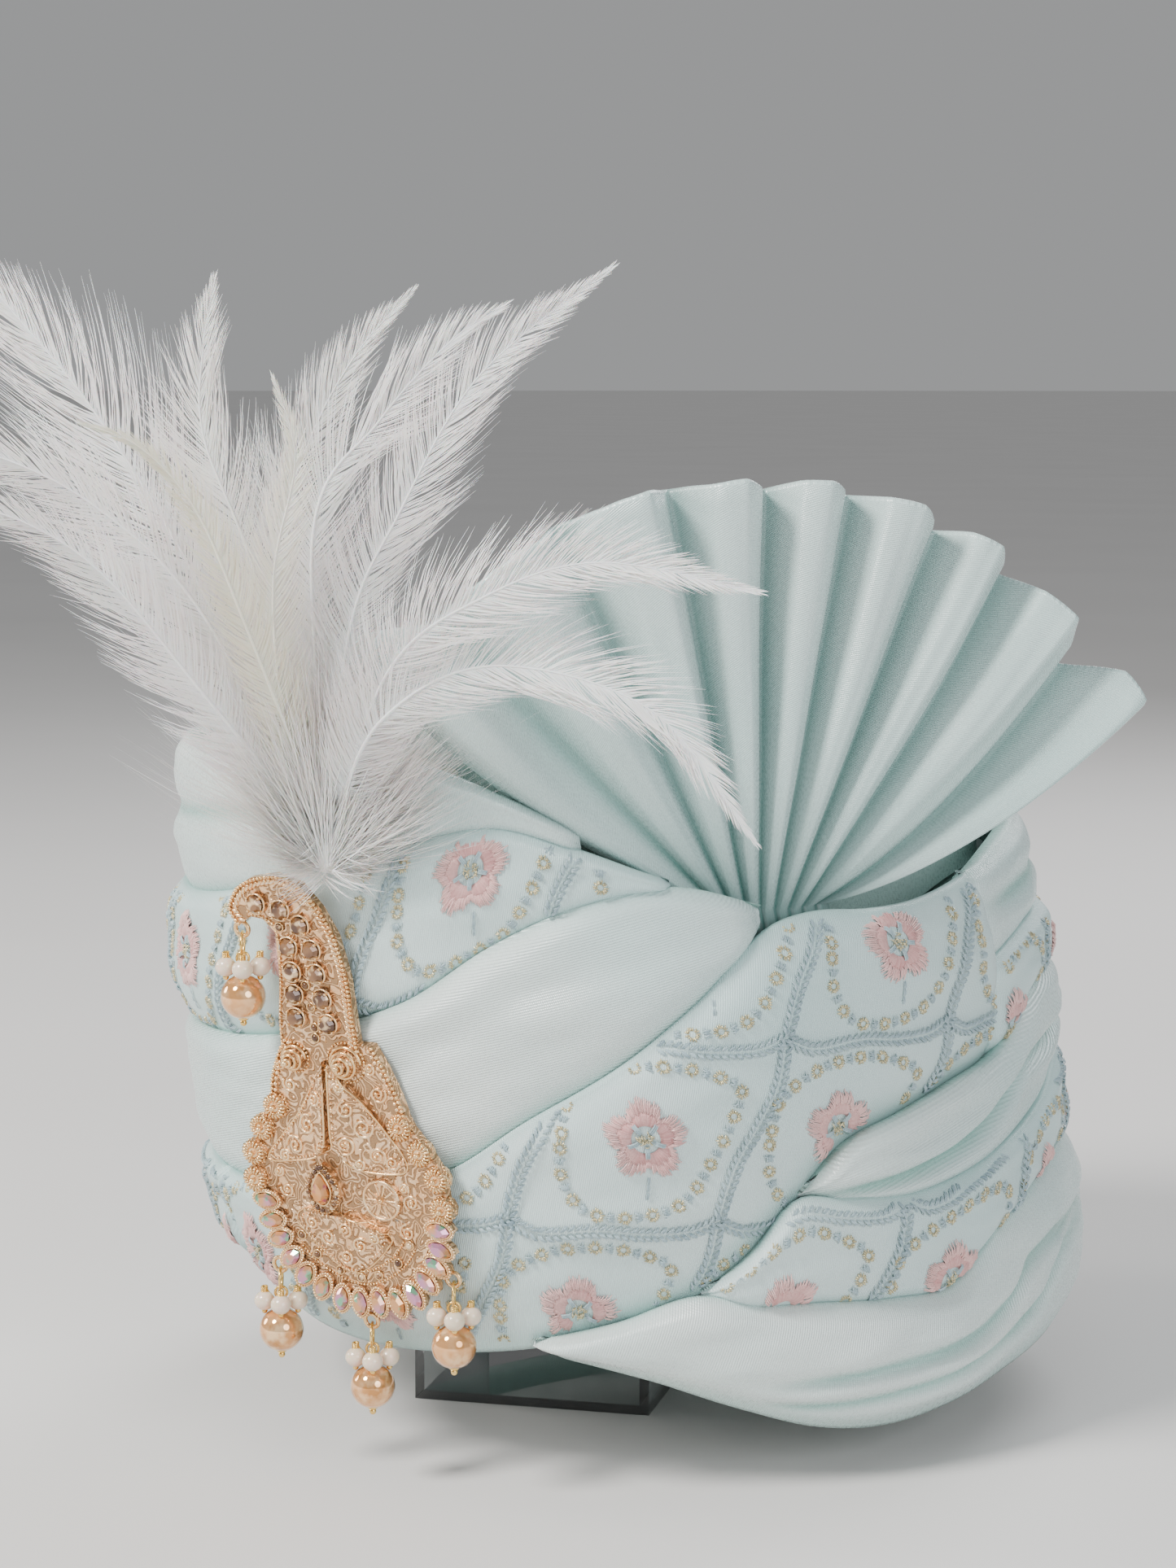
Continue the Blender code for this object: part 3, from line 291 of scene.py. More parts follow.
# Brooch tables, in shares of BROOCH_REACH: across, up
BODY_OUTLINE = (
    (0.190, 0.280), (0.240, 0.190), (0.300, 0.050), (0.330, -0.060), (0.410, -0.160),
    (0.475, -0.270), (0.485, -0.430), (0.460, -0.580), (0.430, -0.680), (0.360, -0.785),
    (0.240, -0.885), (0.100, -0.925), (-0.050, -0.925), (-0.200, -0.870), (-0.310, -0.785),
    (-0.390, -0.680), (-0.440, -0.550), (-0.485, -0.400), (-0.490, -0.270), (-0.430, -0.140),
    (-0.365, -0.020), (-0.345, 0.090), (-0.295, 0.210), (-0.250, 0.280),
)
HOOK_OUTLINE = (
    (0.127, 0.200), (0.113, 0.390), (0.105, 0.570), (0.066, 0.750), (0.002, 0.870),
    (-0.087, 0.970), (-0.203, 1.005), (-0.330, 0.980), (-0.416, 0.927), (-0.461, 0.834),
    (-0.420, 0.762), (-0.350, 0.806), (-0.290, 0.800), (-0.235, 0.744), (-0.240, 0.544),
    (-0.265, 0.360), (-0.270, 0.200),
)
ROUND_STONES = (
    (-0.31, 0.87), (-0.19, 0.85), (-0.10, 0.79), (-0.17, 0.69), (-0.055, 0.685), (-0.165, 0.58),
    (-0.045, 0.58), (-0.165, 0.48), (-0.028, 0.47), (-0.17, 0.375), (-0.012, 0.36),
)
ROSETTES = (
    (-0.33, -0.045), (-0.41, -0.15), (-0.465, -0.27), (-0.475, -0.395),
    (0.285, -0.08), (0.37, -0.185), (0.44, -0.295), (0.455, -0.43),
)
CONES = ((-0.205, 0.19, 0.060), (0.050, 0.19, 0.080))
MARQUISES = (  # across, up, direction of the long axis in degrees
    (-0.424, -0.484, 176), (-0.403, -0.574, 190), (-0.374, -0.656, 202), (-0.327, -0.740, 216),
    (-0.265, -0.813, 230), (-0.182, -0.861, 243), (-0.090, -0.902, 257), (0.003, -0.911, 268),
    (0.098, -0.898, 277), (0.194, -0.890, 288), (0.279, -0.839, 301), (0.347, -0.766, 315),
    (0.405, -0.689, 328), (0.431, -0.610, 342), (0.432, -0.522, 356),
)
LEAF_LEFT = (
    (-0.06, 0.19), (-0.19, -0.03), (-0.39, -0.26), (-0.40, -0.31),
    (-0.27, -0.29), (-0.13, -0.25), (-0.065, -0.18), (-0.05, 0.02),
)
LEAF_RIGHT = (
    (-0.035, 0.19), (-0.035, 0.02), (-0.035, -0.18), (0.02, -0.26),
    (0.12, -0.30), (0.30, -0.29), (0.275, -0.18), (0.11, 0.03), (0.03, 0.10),
)
LEAF_LOWER = (
    (-0.23, -0.50), (-0.285, -0.58), (-0.03, -0.79), (0.185, -0.63), (0.155, -0.565), (0.02, -0.52),
)
WHEEL = (0.16, -0.42, 0.10)
TEARDROP = (-0.12, -0.39)
TEARDROP_SIZE = (0.0050, 0.0085)
EYELETS = ((-0.415, 0.740), (-0.415, -0.800), (0.027, -1.005), (0.460, -0.755))
SMALL_STONES = (  # across, up
    (-0.210, 0.772), (-0.110, 0.521), (-0.094, 0.426), (-0.087, 0.335), (-0.089, 0.289),
    (-0.271, -0.634), (-0.202, -0.715), (-0.092, -0.776), (0.011, -0.798), (0.100, -0.777),
    (0.205, -0.706), (0.271, -0.618),
)
SCROLLS = (  # across, up, radius share, first angle, turn direction
    (-0.155, -0.100, 0.050, 60, 1), (-0.235, -0.205, 0.050, 200, -1), (-0.300, -0.265, 0.032, 20, 1),
    (-0.110, 0.020, 0.035, 100, -1), (-0.095, -0.200, 0.034, 150, 1), (0.030, -0.170, 0.046, 240, 1),
    (0.115, -0.090, 0.050, 30, -1), (0.170, -0.215, 0.044, 300, 1), (0.045, -0.010, 0.040, 90, 1),
    (0.235, -0.240, 0.034, 10, -1), (0.085, -0.255, 0.030, 180, 1), (0.015, 0.085, 0.026, 60, -1),
    (-0.200, -0.560, 0.034, 100, 1), (-0.125, -0.620, 0.040, 320, -1), (-0.040, -0.700, 0.036, 200, 1),
    (0.035, -0.640, 0.038, 40, 1), (0.105, -0.600, 0.030, 120, -1), (-0.030, -0.570, 0.036, 260, 1),
    (0.265, -0.560, 0.040, 80, 1), (0.300, -0.420, 0.040, 260, -1), (-0.320, -0.430, 0.036, 160, 1),
    (-0.250, 0.060, 0.036, 130, 1), (0.190, 0.060, 0.044, 40, -1), (0.160, 0.170, 0.030, 200, 1),
    (-0.290, 0.150, 0.026, 20, -1), (0.270, -0.360, 0.026, 320, 1), (-0.355, -0.350, 0.026, 60, -1),
)

# Feathers: rows of across and rise in shares of PLUME_LENGTH
FEATHERS = (  # points, half width share, forward lean, tone
    (((-0.17, 0.50), (-0.33, 0.76), (-0.47, 0.93), (-0.54, 1.01)), 0.150, -0.10, 0.0),
    (((-0.15, 0.45), (-0.32, 0.62), (-0.48, 0.70), (-0.58, 0.72)), 0.110, 0.12, 0.0),
    (((-0.13, 0.30), (-0.28, 0.50), (-0.40, 0.59), (-0.53, 0.63)), 0.085, 0.28, 0.0),
    (((-0.06, 0.42), (-0.13, 0.61), (-0.21, 0.71), (-0.30, 0.75)), 0.052, 0.36, 0.8),
    (((-0.06, 0.50), (-0.14, 0.72), (-0.14, 0.86), (-0.12, 0.97)), 0.105, 0.02, 0.1),
    (((-0.03, 0.50), (0.02, 0.71), (0.10, 0.86), (0.19, 0.96)), 0.085, -0.18, 0.1),
    (((0.04, 0.57), (0.15, 0.75), (0.27, 0.88), (0.35, 0.93)), 0.100, 0.12, 0.0),
    (((0.10, 0.42), (0.18, 0.60), (0.31, 0.82), (0.52, 0.99)), 0.082, 0.16, 0.0),
    (((0.17, 0.36), (0.32, 0.48), (0.50, 0.54), (0.74, 0.50)), 0.085, 0.52, 0.0),
    (((0.15, 0.27), (0.33, 0.37), (0.58, 0.31), (0.74, 0.11)), 0.082, 0.52, 0.0),
    (((-0.01, 0.28), (-0.02, 0.50), (0.02, 0.69), (-0.01, 0.82)), 0.060, 0.24, 0.5),
)

# Embroidery, in metres along and across the cloth
MOTIF_ALONG = (0.0560, -0.0020)
MOTIF_UP = (0.0235, 0.0490)
STITCH_PITCH = 0.0020
STITCH_LENGTH = 0.0026
STITCH_SLANT = 42.0
BRAID_HALF = 0.00035
THREAD = 0.00036
RING_PITCH = 0.0074
RING_SIZE = 0.0020
PETALS = 5
PETAL_REACH = 0.0112
RING_OUTLINE = (                # from the flower's middle, in metres
    (-0.0220, 0.0000), (-0.0180, 0.0110), (-0.0050, 0.0180), (0.0100, 0.0190), (0.0230, 0.0150),
    (0.0265, 0.0105), (0.0180, -0.0055), (0.0080, -0.0180), (-0.0055, -0.0215), (-0.0180, -0.0195),
    (-0.0230, -0.0110),
)
BRAID_UP = (                    # one edge of the ogee net, as steep as MOTIF_UP
    (0.0170, -0.0240), (0.0222, -0.0110), (0.0300, 0.0010), (0.0372, 0.0130), (0.0405, 0.0250),
)
BRAID_ALONG = (                 # the other edge, as long as MOTIF_ALONG
    (-0.0390, -0.0220), (-0.0310, -0.0258), (-0.0160, -0.0250), (-0.0040, -0.0264),
    (0.0085, -0.0266), (0.0170, -0.0240),
)
PATTERNS = (  # wrap, follows its middle, first flower's turn and level, along, seed, rows
    ("lower", False, 406, 0.101, MOTIF_ALONG, 3, (-2, -1, 0, 1, 2)),
    ("upper", True, 389, 0.007, (0.0581, 0.00145), 5, (-1, 0, 1)),
    ("inner", True, 85, -0.0115, (0.0560, 0.0), 7, (-1, 0, 1)),
)

# Looks
CLOTHS = (  # name, light, pale and painted shade colour, rib pitch, turn and depth, roughness
    ("satin", (0.57, 0.735, 0.725), (0.74, 0.82, 0.80), (0.28, 0.51, 0.46),
     0.00062, 24, 0.00014, 0.27),
    ("satin_roll", (0.57, 0.73, 0.72), (0.74, 0.815, 0.79), (0.24, 0.48, 0.42),
     0.00066, 76, 0.00016, 0.27),
    ("embroidered_ground", (0.54, 0.735, 0.735), (0.65, 0.785, 0.78), (0.28, 0.51, 0.47),
     0.00055, 16, 0.00013, 0.34),
    ("fan_satin", (0.50, 0.675, 0.66), (0.63, 0.76, 0.745), (0.14, 0.32, 0.29),
     0.00058, 70, 0.00013, 0.26),
    ("padding_cloth", (0.62, 0.72, 0.70), (0.70, 0.77, 0.75), (0.34, 0.46, 0.43),
     0.00070, 8, 0.00020, 0.75),
)
THREADS = (  # name, colour, dark, roughness, metallic, glitter
    ("blue_thread", (0.46, 0.60, 0.64), (0.20, 0.30, 0.36), 0.32, 0.0, 0.0),
    ("glitter_thread", (0.55, 0.49, 0.30), (0.28, 0.25, 0.15), 0.30, 0.55, 0.4),
    ("rose_thread", (0.89, 0.58, 0.55), (0.58, 0.24, 0.24), 0.33, 0.0, 0.0),
)
METALS = (  # name, colour, dark, roughness, grain, filigree relief with painted shade
    ("cast_gold", (0.98, 0.68, 0.42), (0.90, 0.54, 0.28), 0.30, 0.25, True),
    ("relief_gold", (1.0, 0.75, 0.46), (0.93, 0.60, 0.32), 0.26, 0.12, False),
    ("bright_gold", (0.96, 0.68, 0.36), (0.84, 0.52, 0.24), 0.20, 0.08, False),
    ("wire_gold", (0.93, 0.66, 0.24), (0.82, 0.52, 0.14), 0.18, 0.05, False),
)
STONES = (  # name, three colours, metallic
    # smoky glass: two browns, and champagne spots painted as reflections
    ("smoky_glass", (0.075, 0.028, 0.010), (0.24, 0.11, 0.04), (0.85, 0.60, 0.34), 0.25),
    ("flash_glass", (0.72, 0.36, 0.15), (0.62, 0.28, 0.44), (0.22, 0.52, 0.32), 0.55),
    ("amber_stone", (0.66, 0.27, 0.07), (0.88, 0.48, 0.22), (0.50, 0.10, 0.16), 0.5),
)
WRAP_LOOKS = {  # material, slot
    "top_satin": ("satin", "ice_satin"),
    "upper_embroidered": ("embroidered_ground", "embroidered_silk"),
    "middle_satin": ("satin_roll", "ice_satin"),
    "inner_embroidered": ("embroidered_ground", "embroidered_silk"),
    "lower_embroidered": ("embroidered_ground", "embroidered_silk"),
    "base_satin": ("satin", "ice_satin"),
}


# Geometry shared with the part's source

def smooth_value(rows, turn):
    """Value at a place, on a smooth curve through the rows of a table."""
    if turn <= rows[0][0]:
        return rows[0][1]
    if turn >= rows[-1][0]:
        return rows[-1][1]
    index = max(i for i in range(len(rows)) if rows[i][0] <= turn)
    before = rows[max(index - 1, 0)]
    first = rows[index]
    last = rows[index + 1]
    after = rows[min(index + 2, len(rows) - 1)]
    span = last[0] - first[0]
    share = (turn - first[0]) / span
    slope_in = (last[1] - before[1]) / (last[0] - before[0]) * span
    slope_out = (after[1] - first[1]) / (after[0] - first[0]) * span
    square = share * share
    cube = square * share
    return ((2 * cube - 3 * square + 1) * first[1] + (cube - 2 * square + share) * slope_in
            + (3 * square - 2 * cube) * last[1] + (cube - square) * slope_out)


def level(rows, turn):
    return smooth_value(rows, turn) * WRAP_HEIGHT


def surface_point(turn, height, out=0.0):
    """Point on the turban's outer surface, moved out along its level normal."""
    angle = math.radians(turn)
    normal_x = math.sin(angle) / HALF_WIDTH
    normal_y = -math.cos(angle) / HALF_DEPTH
    size = math.hypot(normal_x, normal_y)
    draw = TOP_DRAW * max(0.0, (height - TOP_DRAW_LEVEL) / (WRAP_HEIGHT - TOP_DRAW_LEVEL))
    move = (out - draw) / size
    return Vector((HALF_WIDTH * math.sin(angle) + normal_x * move,
                   -LEAN * (height - LEAN_LEVEL) - HALF_DEPTH * math.cos(angle) + normal_y * move,
                   height))


def head_point(turn, height):
    angle = math.radians(turn)
    return Vector((HEAD_HALF_WIDTH * math.sin(angle), -HEAD_HALF_DEPTH * math.cos(angle), height))


def facing_axes(degrees, dip=0.0):
    """Across, up and out of a form that faces a turn and is dipped by some degrees."""
    facing = math.radians(degrees)
    lean = math.radians(dip)
    out = Vector((math.sin(facing) * math.cos(lean), -math.cos(facing) * math.cos(lean),
                  -math.sin(lean)))
    across = Vector((math.cos(facing), math.sin(facing), 0))
    return across, out.cross(across), out


def rim_level(turn):
    full = turn % 360
    return level(RIM, full if full >= 100 else full + 360)


def hem_level(turn):
    return level(HEM, turn % 360)


def core_top(turn):
    return rim_level(turn) - CORE_INSET_TOP


# Mesh helpers

class Batch:
    """Vertices and faces of many small forms that become one mesh."""

    def __init__(self):
        self.points = []
        self.faces = []
        self.tones = []

    def add(self, points, faces, tone=0.0):
        base = len(self.points)
        self.points.extend(points)
        self.faces.extend([tuple(base + k for k in face) for face in faces])
        self.tones.extend([tone] * len(points))


def new_piece(name, batch, finish, smooth=True, uvs=None):
    mesh = bpy.data.meshes.new(name)
    mesh.from_pydata([tuple(p) for p in batch.points], [], batch.faces)
    tones = mesh.attributes.new("tone", "FLOAT", "POINT")
    tones.data.foreach_set("value", batch.tones)
    if uvs is not None:
        layer = mesh.uv_layers.new(name="UVMap")
        flat = []
        for loop in mesh.loops:
            flat.extend(uvs[loop.vertex_index])
        layer.data.foreach_set("uv", flat)
    mesh.materials.append(finish)
    if smooth:
        mesh.shade_smooth()
    made = bpy.data.objects.new(name, mesh)
    bpy.context.scene.collection.objects.link(made)
    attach(made, "root")
    return made


def grid_faces(count, width, closed_along=False, closed_across=True):
    """Faces between neighbouring sections, each with the same number of points."""
    faces = []
    for k in range(count if closed_along else count - 1):
        here = k * width
        there = (k + 1) % count * width
        for j in range(width if closed_across else width - 1):
            after = (j + 1) % width
            faces.append((here + j, there + j, there + after, here + after))
    return faces


def add_thread(batch, start, end, normal, width, bow, tone=0.0):
    """One stitch: a slim three-sided strand that rises in its middle."""
    along = end - start
    side = normal.cross(along)
    if side.length < 1e-9:
        return
    side = side.normalized() * (0.5 * width)
    up = normal * (0.8 * width)
    points = []
    for share, rise, wide in ((0.0, 0.0, 0.55), (0.28, 0.75, 1.0), (0.72, 0.8, 1.0), (1.0, 0.0, 0.55)):
        middle = start + along * share + normal * (bow * rise)
        points += [middle - side * wide, middle + up * wide, middle + side * wide]
    faces = []
    for k in range(3):
        low = 3 * k
        faces += [(low, low + 1, low + 4, low + 3), (low + 1, low + 2, low + 5, low + 4)]
    batch.add(points, faces, tone)


BALLS = {}


def unit_ball(around, rows):
    """Points and faces of a unit ball, made once for each fineness."""
    key = (around, rows)
    if key not in BALLS:
        points = [Vector((0, 0, 1))]
        for row in range(1, rows):
            polar = math.pi * row / rows
            for k in range(around):
                angle = math.tau * k / around
                points.append(Vector((math.sin(polar) * math.cos(angle),
                                      math.sin(polar) * math.sin(angle), math.cos(polar))))
        points.append(Vector((0, 0, -1)))
        faces = []
        for k in range(around):
            after = (k + 1) % around
            faces.append((0, 1 + k, 1 + after))
            for row in range(rows - 2):
                low = 1 + row * around
                faces.append((low + k, low + around + k, low + around + after, low + after))
            low = 1 + (rows - 2) * around
            faces.append((low + k, len(points) - 1, low + after))
        BALLS[key] = (points, faces)
    return BALLS[key]


def add_ball(batch, centre, radii, frame=None, around=10, rows=6, tone=0.0):
    points, faces = unit_ball(around, rows)
    if not isinstance(radii, tuple):
        radii = (radii, radii, radii)
    made = []
    for p in points:
        local = Vector((p.x * radii[0], p.y * radii[1], p.z * radii[2]))
        made.append(centre + (frame @ local if frame else local))
    batch.add(made, faces, tone)


def add_tube(batch, line, radii, sides=6, closed=False, tone=0.0):
    """Round tube along points; radii is one number or one for each point."""
    count = len(line)
    if not isinstance(radii, (list, tuple)):
        radii = [radii] * count
    points = []
    side = None
    for k in range(count):
        before = line[(k - 1) % count] if closed else line[max(k - 1, 0)]
        after = line[(k + 1) % count] if closed else line[min(k + 1, count - 1)]
        along = (after - before).normalized()
        if side is None:
            side = along.orthogonal().normalized()
        side = (side - along * side.dot(along)).normalized()
        other = along.cross(side)
        for j in range(sides):
            angle = math.tau * j / sides
            points.append(line[k] + side * (radii[k] * math.cos(angle))
                          + other * (radii[k] * math.sin(angle)))
    faces = []
    for k in range(count if closed else count - 1):
        here = k * sides
        there = ((k + 1) % count) * sides
        for j in range(sides):
            after = (j + 1) % sides
            faces.append((here + j, here + after, there + after, there + j))
    if not closed:
        faces.append(tuple(reversed(range(sides))))
        faces.append(tuple(range((count - 1) * sides, count * sides)))
    batch.add(points, faces, tone)


def circle_line(centre, radius, side, rise, count):
    return [centre + side * (radius * math.cos(math.tau * k / count))
            + rise * (radius * math.sin(math.tau * k / count)) for k in range(count)]


def curve_points(rows, count, closed=False):
    """Even points on a smooth curve through the rows."""
    total = len(rows)
    spans = total if closed else total - 1
    points = []
    for k in range(count if closed else count + 1):
        place = k / count * spans
        index = min(int(place), spans - 1)
        share = place - index
        if closed:
            before, first, second, after = (rows[(index + j) % total] for j in (-1, 0, 1, 2))
        else:
            before = rows[max(index - 1, 0)]
            first = rows[index]
            second = rows[index + 1]
            after = rows[min(index + 2, total - 1)]
        points.append(0.5 * ((2 * first) + (second - before) * share
                             + (2 * before - 5 * first + 4 * second - after) * share ** 2
                             + (3 * first - before - 3 * second + after) * share ** 3))
    return points


def spaced_points(line, pitch):
    """Points one pitch apart along a line, each with its direction."""
    found = []
    left = 0.5 * pitch
    for first, second in zip(line, line[1:]):
        span = (second - first).length
        while left <= span and span > 0:
            found.append((first.lerp(second, left / span), (second - first) / span))
            left += pitch
        left -= span
    return found


# Materials

def start_material(name):
    """New material with its nodes, its shader and its texture places."""
    made = bpy.data.materials.new(name)
    made.use_nodes = True
    tree = made.node_tree
    place = tree.nodes.new("ShaderNodeTexCoord")
    return made, tree, tree.nodes["Principled BSDF"], place.outputs


def set_inputs(shader, values):
    for key, value in values.items():
        shader.inputs[key].default_value = value


def set_roughness(tree, shader, value, low, high):
    """Roughness that runs from low to high with a value from 0 to 1."""
    ramp = tree.nodes.new("ShaderNodeMapRange")
    ramp.inputs["To Min"].default_value = low
    ramp.inputs["To Max"].default_value = high
    tree.links.new(value, ramp.inputs["Value"])
    tree.links.new(ramp.outputs["Result"], shader.inputs["Roughness"])


def rgba(colour):
    return (*colour, 1.0)


def mix_colour(tree, factor, low, high):
    """Mix of two colours, each a fixed colour or another node's output."""
    node = tree.nodes.new("ShaderNodeMix")
    node.data_type = "RGBA"
    for index, value in ((6, low), (7, high)):
        if isinstance(value, tuple):
            node.inputs[index].default_value = rgba(value)
        else:
            tree.links.new(value, node.inputs[index])
    if isinstance(factor, float):
        node.inputs[0].default_value = factor
    else:
        tree.links.new(factor, node.inputs[0])
    return node.outputs[2]


def noise_value(tree, vector, scale, detail, low, high):
    """Noise that runs from 0 to 1 between two of its own values."""
    node = tree.nodes.new("ShaderNodeTexNoise")
    node.inputs["Scale"].default_value = scale
    node.inputs["Detail"].default_value = detail
    tree.links.new(vector, node.inputs["Vector"])
    ramp = tree.nodes.new("ShaderNodeMapRange")
    ramp.inputs["From Min"].default_value = low
    ramp.inputs["From Max"].default_value = high
    tree.links.new(node.outputs["Fac"], ramp.inputs["Value"])
    return ramp.outputs["Result"]


def ribs(tree, vector, turned, pitch):
    """Straight ribs of one pitch in metres, turned in the plane of the cloth."""
    mapping = tree.nodes.new("ShaderNodeMapping")
    mapping.inputs["Rotation"].default_value = (0, 0, math.radians(turned))
    tree.links.new(vector, mapping.inputs["Vector"])
    wave = tree.nodes.new("ShaderNodeTexWave")
    wave.inputs["Scale"].default_value = math.pi / (10 * pitch)
    wave.inputs["Distortion"].default_value = 0.35
    wave.inputs["Detail"].default_value = 1.0
    wave.inputs["Detail Scale"].default_value = 0.6
    tree.links.new(mapping.outputs["Vector"], wave.inputs["Vector"])
    return wave.outputs["Fac"]


def bump(tree, shader, height, strength, distance, before=None):
    node = tree.nodes.new("ShaderNodeBump")
    node.inputs["Strength"].default_value = strength
    node.inputs["Distance"].default_value = distance
    tree.links.new(height, node.inputs["Height"])
    if before is not None:
        tree.links.new(before, node.inputs["Normal"])
    tree.links.new(node.outputs["Normal"], shader.inputs["Normal"])
    return node.outputs["Normal"]


# The tone attribute: painted shade on the cloth (laps, edges, creases, pleat valleys, the crown's
# foot), and the threads' and feathers' own colour changes.
def tone_value(tree):
    node = tree.nodes.new("ShaderNodeAttribute")
    node.attribute_name = "tone"
    return node.outputs["Fac"]


def cloth(name, light, pale, shade, rib_pitch, rib_turn, rib_depth, roughness):
    """Satin: ribbed weave, slow changes of colour, painted shade where the tone attribute is high and
    in the low places of the ribs.
    """
    made, tree, shader, place = start_material(name)
    rib = ribs(tree, place["UV"], rib_turn, rib_pitch)
    cross = ribs(tree, place["UV"], rib_turn + 78, rib_pitch * 0.8)
    broad = noise_value(tree, place["Object"], 9.0, 2.0, 0.35, 0.68)
    fine = noise_value(tree, place["UV"], 900.0, 3.0, 0.3, 0.7)
    base = mix_colour(tree, broad, light, pale)
    # Painted shade: the tone attribute mixes in the shade colour at laps, creases and pleat valleys.
    folded = mix_colour(tree, tone_value(tree), base, shade)
    # Painted shade in the weave: darker colour in the low places of the ribs.
    darker = mix_colour(tree, 0.10, folded, (0.30, 0.42, 0.42))
    ribbed = mix_colour(tree, rib, darker, folded)
    tree.links.new(ribbed, shader.inputs["Base Color"])
    set_roughness(tree, shader, fine, roughness - 0.05, roughness + 0.09)
    first = bump(tree, shader, rib, 0.75, rib_depth)
    second = bump(tree, shader, cross, 0.30, rib_depth * 0.6, first)
    bump(tree, shader, fine, 0.12, 0.0001, second)
    set_inputs(shader, {"Sheen Weight": 0.18, "Sheen Roughness": 0.30, "Specular IOR Level": 0.85})
    return made


def thread(name, colour, dark, roughness, metallic, glitter):
    made, tree, shader, place = start_material(name)
    fleck = noise_value(tree, place["Object"], 1400.0, 2.0, 0.42, 0.58)
    broad = noise_value(tree, place["Object"], 60.0, 2.0, 0.3, 0.7)
    base = mix_colour(tree, tone_value(tree), colour, dark)
    mixed = mix_colour(tree, broad, base, tuple(0.86 * v for v in colour))
    # Painted glints: flecks lighter than the thread stand in for the sparkle of the glitter.
    if glitter > 0:
        mixed = mix_colour(tree, fleck, mixed, tuple(min(1.0, 1.5 * v) for v in colour))
    tree.links.new(mixed, shader.inputs["Base Color"])
    bump(tree, shader, fleck, 0.25 + glitter, 0.0002)
    set_inputs(shader, {"Roughness": roughness, "Metallic": metallic, "Sheen Weight": 0.15})
    return made


def filigree(tree, vector, scale, lines):
    """Winding raised lines, as contour lines of a smooth noise."""
    node = tree.nodes.new("ShaderNodeTexNoise")
    node.inputs["Scale"].default_value = scale
    node.inputs["Detail"].default_value = 0.6
    node.inputs["Distortion"].default_value = 0.7
    tree.links.new(vector, node.inputs["Vector"])
    times = tree.nodes.new("ShaderNodeMath")
    times.operation = "MULTIPLY"
    times.inputs[1].default_value = lines
    tree.links.new(node.outputs["Fac"], times.inputs[0])
    sine = tree.nodes.new("ShaderNodeMath")
    sine.operation = "SINE"
    tree.links.new(times.outputs[0], sine.inputs[0])
    ramp = tree.nodes.new("ShaderNodeMapRange")
    ramp.inputs["From Min"].default_value = -0.45
    ramp.inputs["From Max"].default_value = 0.45
    tree.links.new(sine.outputs[0], ramp.inputs["Value"])
    return ramp.outputs["Result"]


def metal(name, colour, dark, roughness, grain, relief):
    """Cast gilt metal with a fine sand grain; with relief, raised filigree lines with painted shade in
    the low places between them.
    """
    made, tree, shader, place = start_material(name)
    sand = noise_value(tree, place["Object"], 2600.0, 3.0, 0.35, 0.65)
    broad = noise_value(tree, place["Object"], 170.0, 3.0, 0.35, 0.65)
    base = mix_colour(tree, broad, colour, dark)
    before = None
    if relief:
        lines = filigree(tree, place["Object"], 230.0, 42.0)
        # Painted shade: the low places between the filigree lines are darkened.
        base = mix_colour(tree, lines, tuple(0.46 * v for v in dark), base)
        before = bump(tree, shader, lines, 1.0, 0.0005)
    tree.links.new(base, shader.inputs["Base Color"])
    set_roughness(tree, shader, sand, roughness - 0.06, roughness + 0.08)
    bump(tree, shader, sand, grain, 0.00012, before)
    set_inputs(shader, {"Metallic": 0.85})
    return made


def stone(name, colour, second, third, metallic):
    """Foiled glass stone whose colour changes over a few millimetres, with spots of a third colour; on
    the smoky glass those spots are painted reflections.
    """
    made, tree, shader, place = start_material(name)
    first = noise_value(tree, place["Object"], 210.0, 1.0, 0.40, 0.60)
    other = noise_value(tree, place["Object"], 420.0, 1.0, 0.54, 0.66)
    base = mix_colour(tree, first, colour, second)
    # Spots of the third colour; on the smoky glass they are painted reflections, champagne flashes on
    # the dark brown.
    tree.links.new(mix_colour(tree, other, base, third), shader.inputs["Base Color"])
    set_inputs(shader, {"Roughness": 0.06, "Metallic": metallic, "Coat Weight": 0.5,
                        "Coat Roughness": 0.03, "IOR": 1.6})
    return made


def glass_foil(name):
    """Amber foil glass of the drops: light cells between darker veins."""
    made, tree, shader, place = start_material(name)
    cells = noise_value(tree, place["Object"], 330.0, 2.0, 0.40, 0.62)
    broad = noise_value(tree, place["Object"], 120.0, 1.0, 0.35, 0.65)
    base = mix_colour(tree, cells, (0.58, 0.25, 0.06), (0.98, 0.66, 0.36))
    tree.links.new(mix_colour(tree, broad, base, (0.84, 0.42, 0.16)), shader.inputs["Base Color"])
    set_inputs(shader, {"Roughness": 0.10, "Metallic": 0.55, "Coat Weight": 1.0,
                        "Coat Roughness": 0.02, "IOR": 1.5})
    return made


def pearl_finish(name):
    made, tree, shader, place = start_material(name)
    broad = noise_value(tree, place["Object"], 260.0, 2.0, 0.35, 0.65)
    tree.links.new(mix_colour(tree, broad, (0.80, 0.68, 0.50), (0.84, 0.68, 0.56)),
                   shader.inputs["Base Color"])
    bump(tree, shader, broad, 0.05, 0.0003)
    set_inputs(shader, {"Roughness": 0.22, "Coat Weight": 0.6, "Coat Roughness": 0.12,
                        "Subsurface Weight": 0.15, "Subsurface Scale": 0.002})
    return made


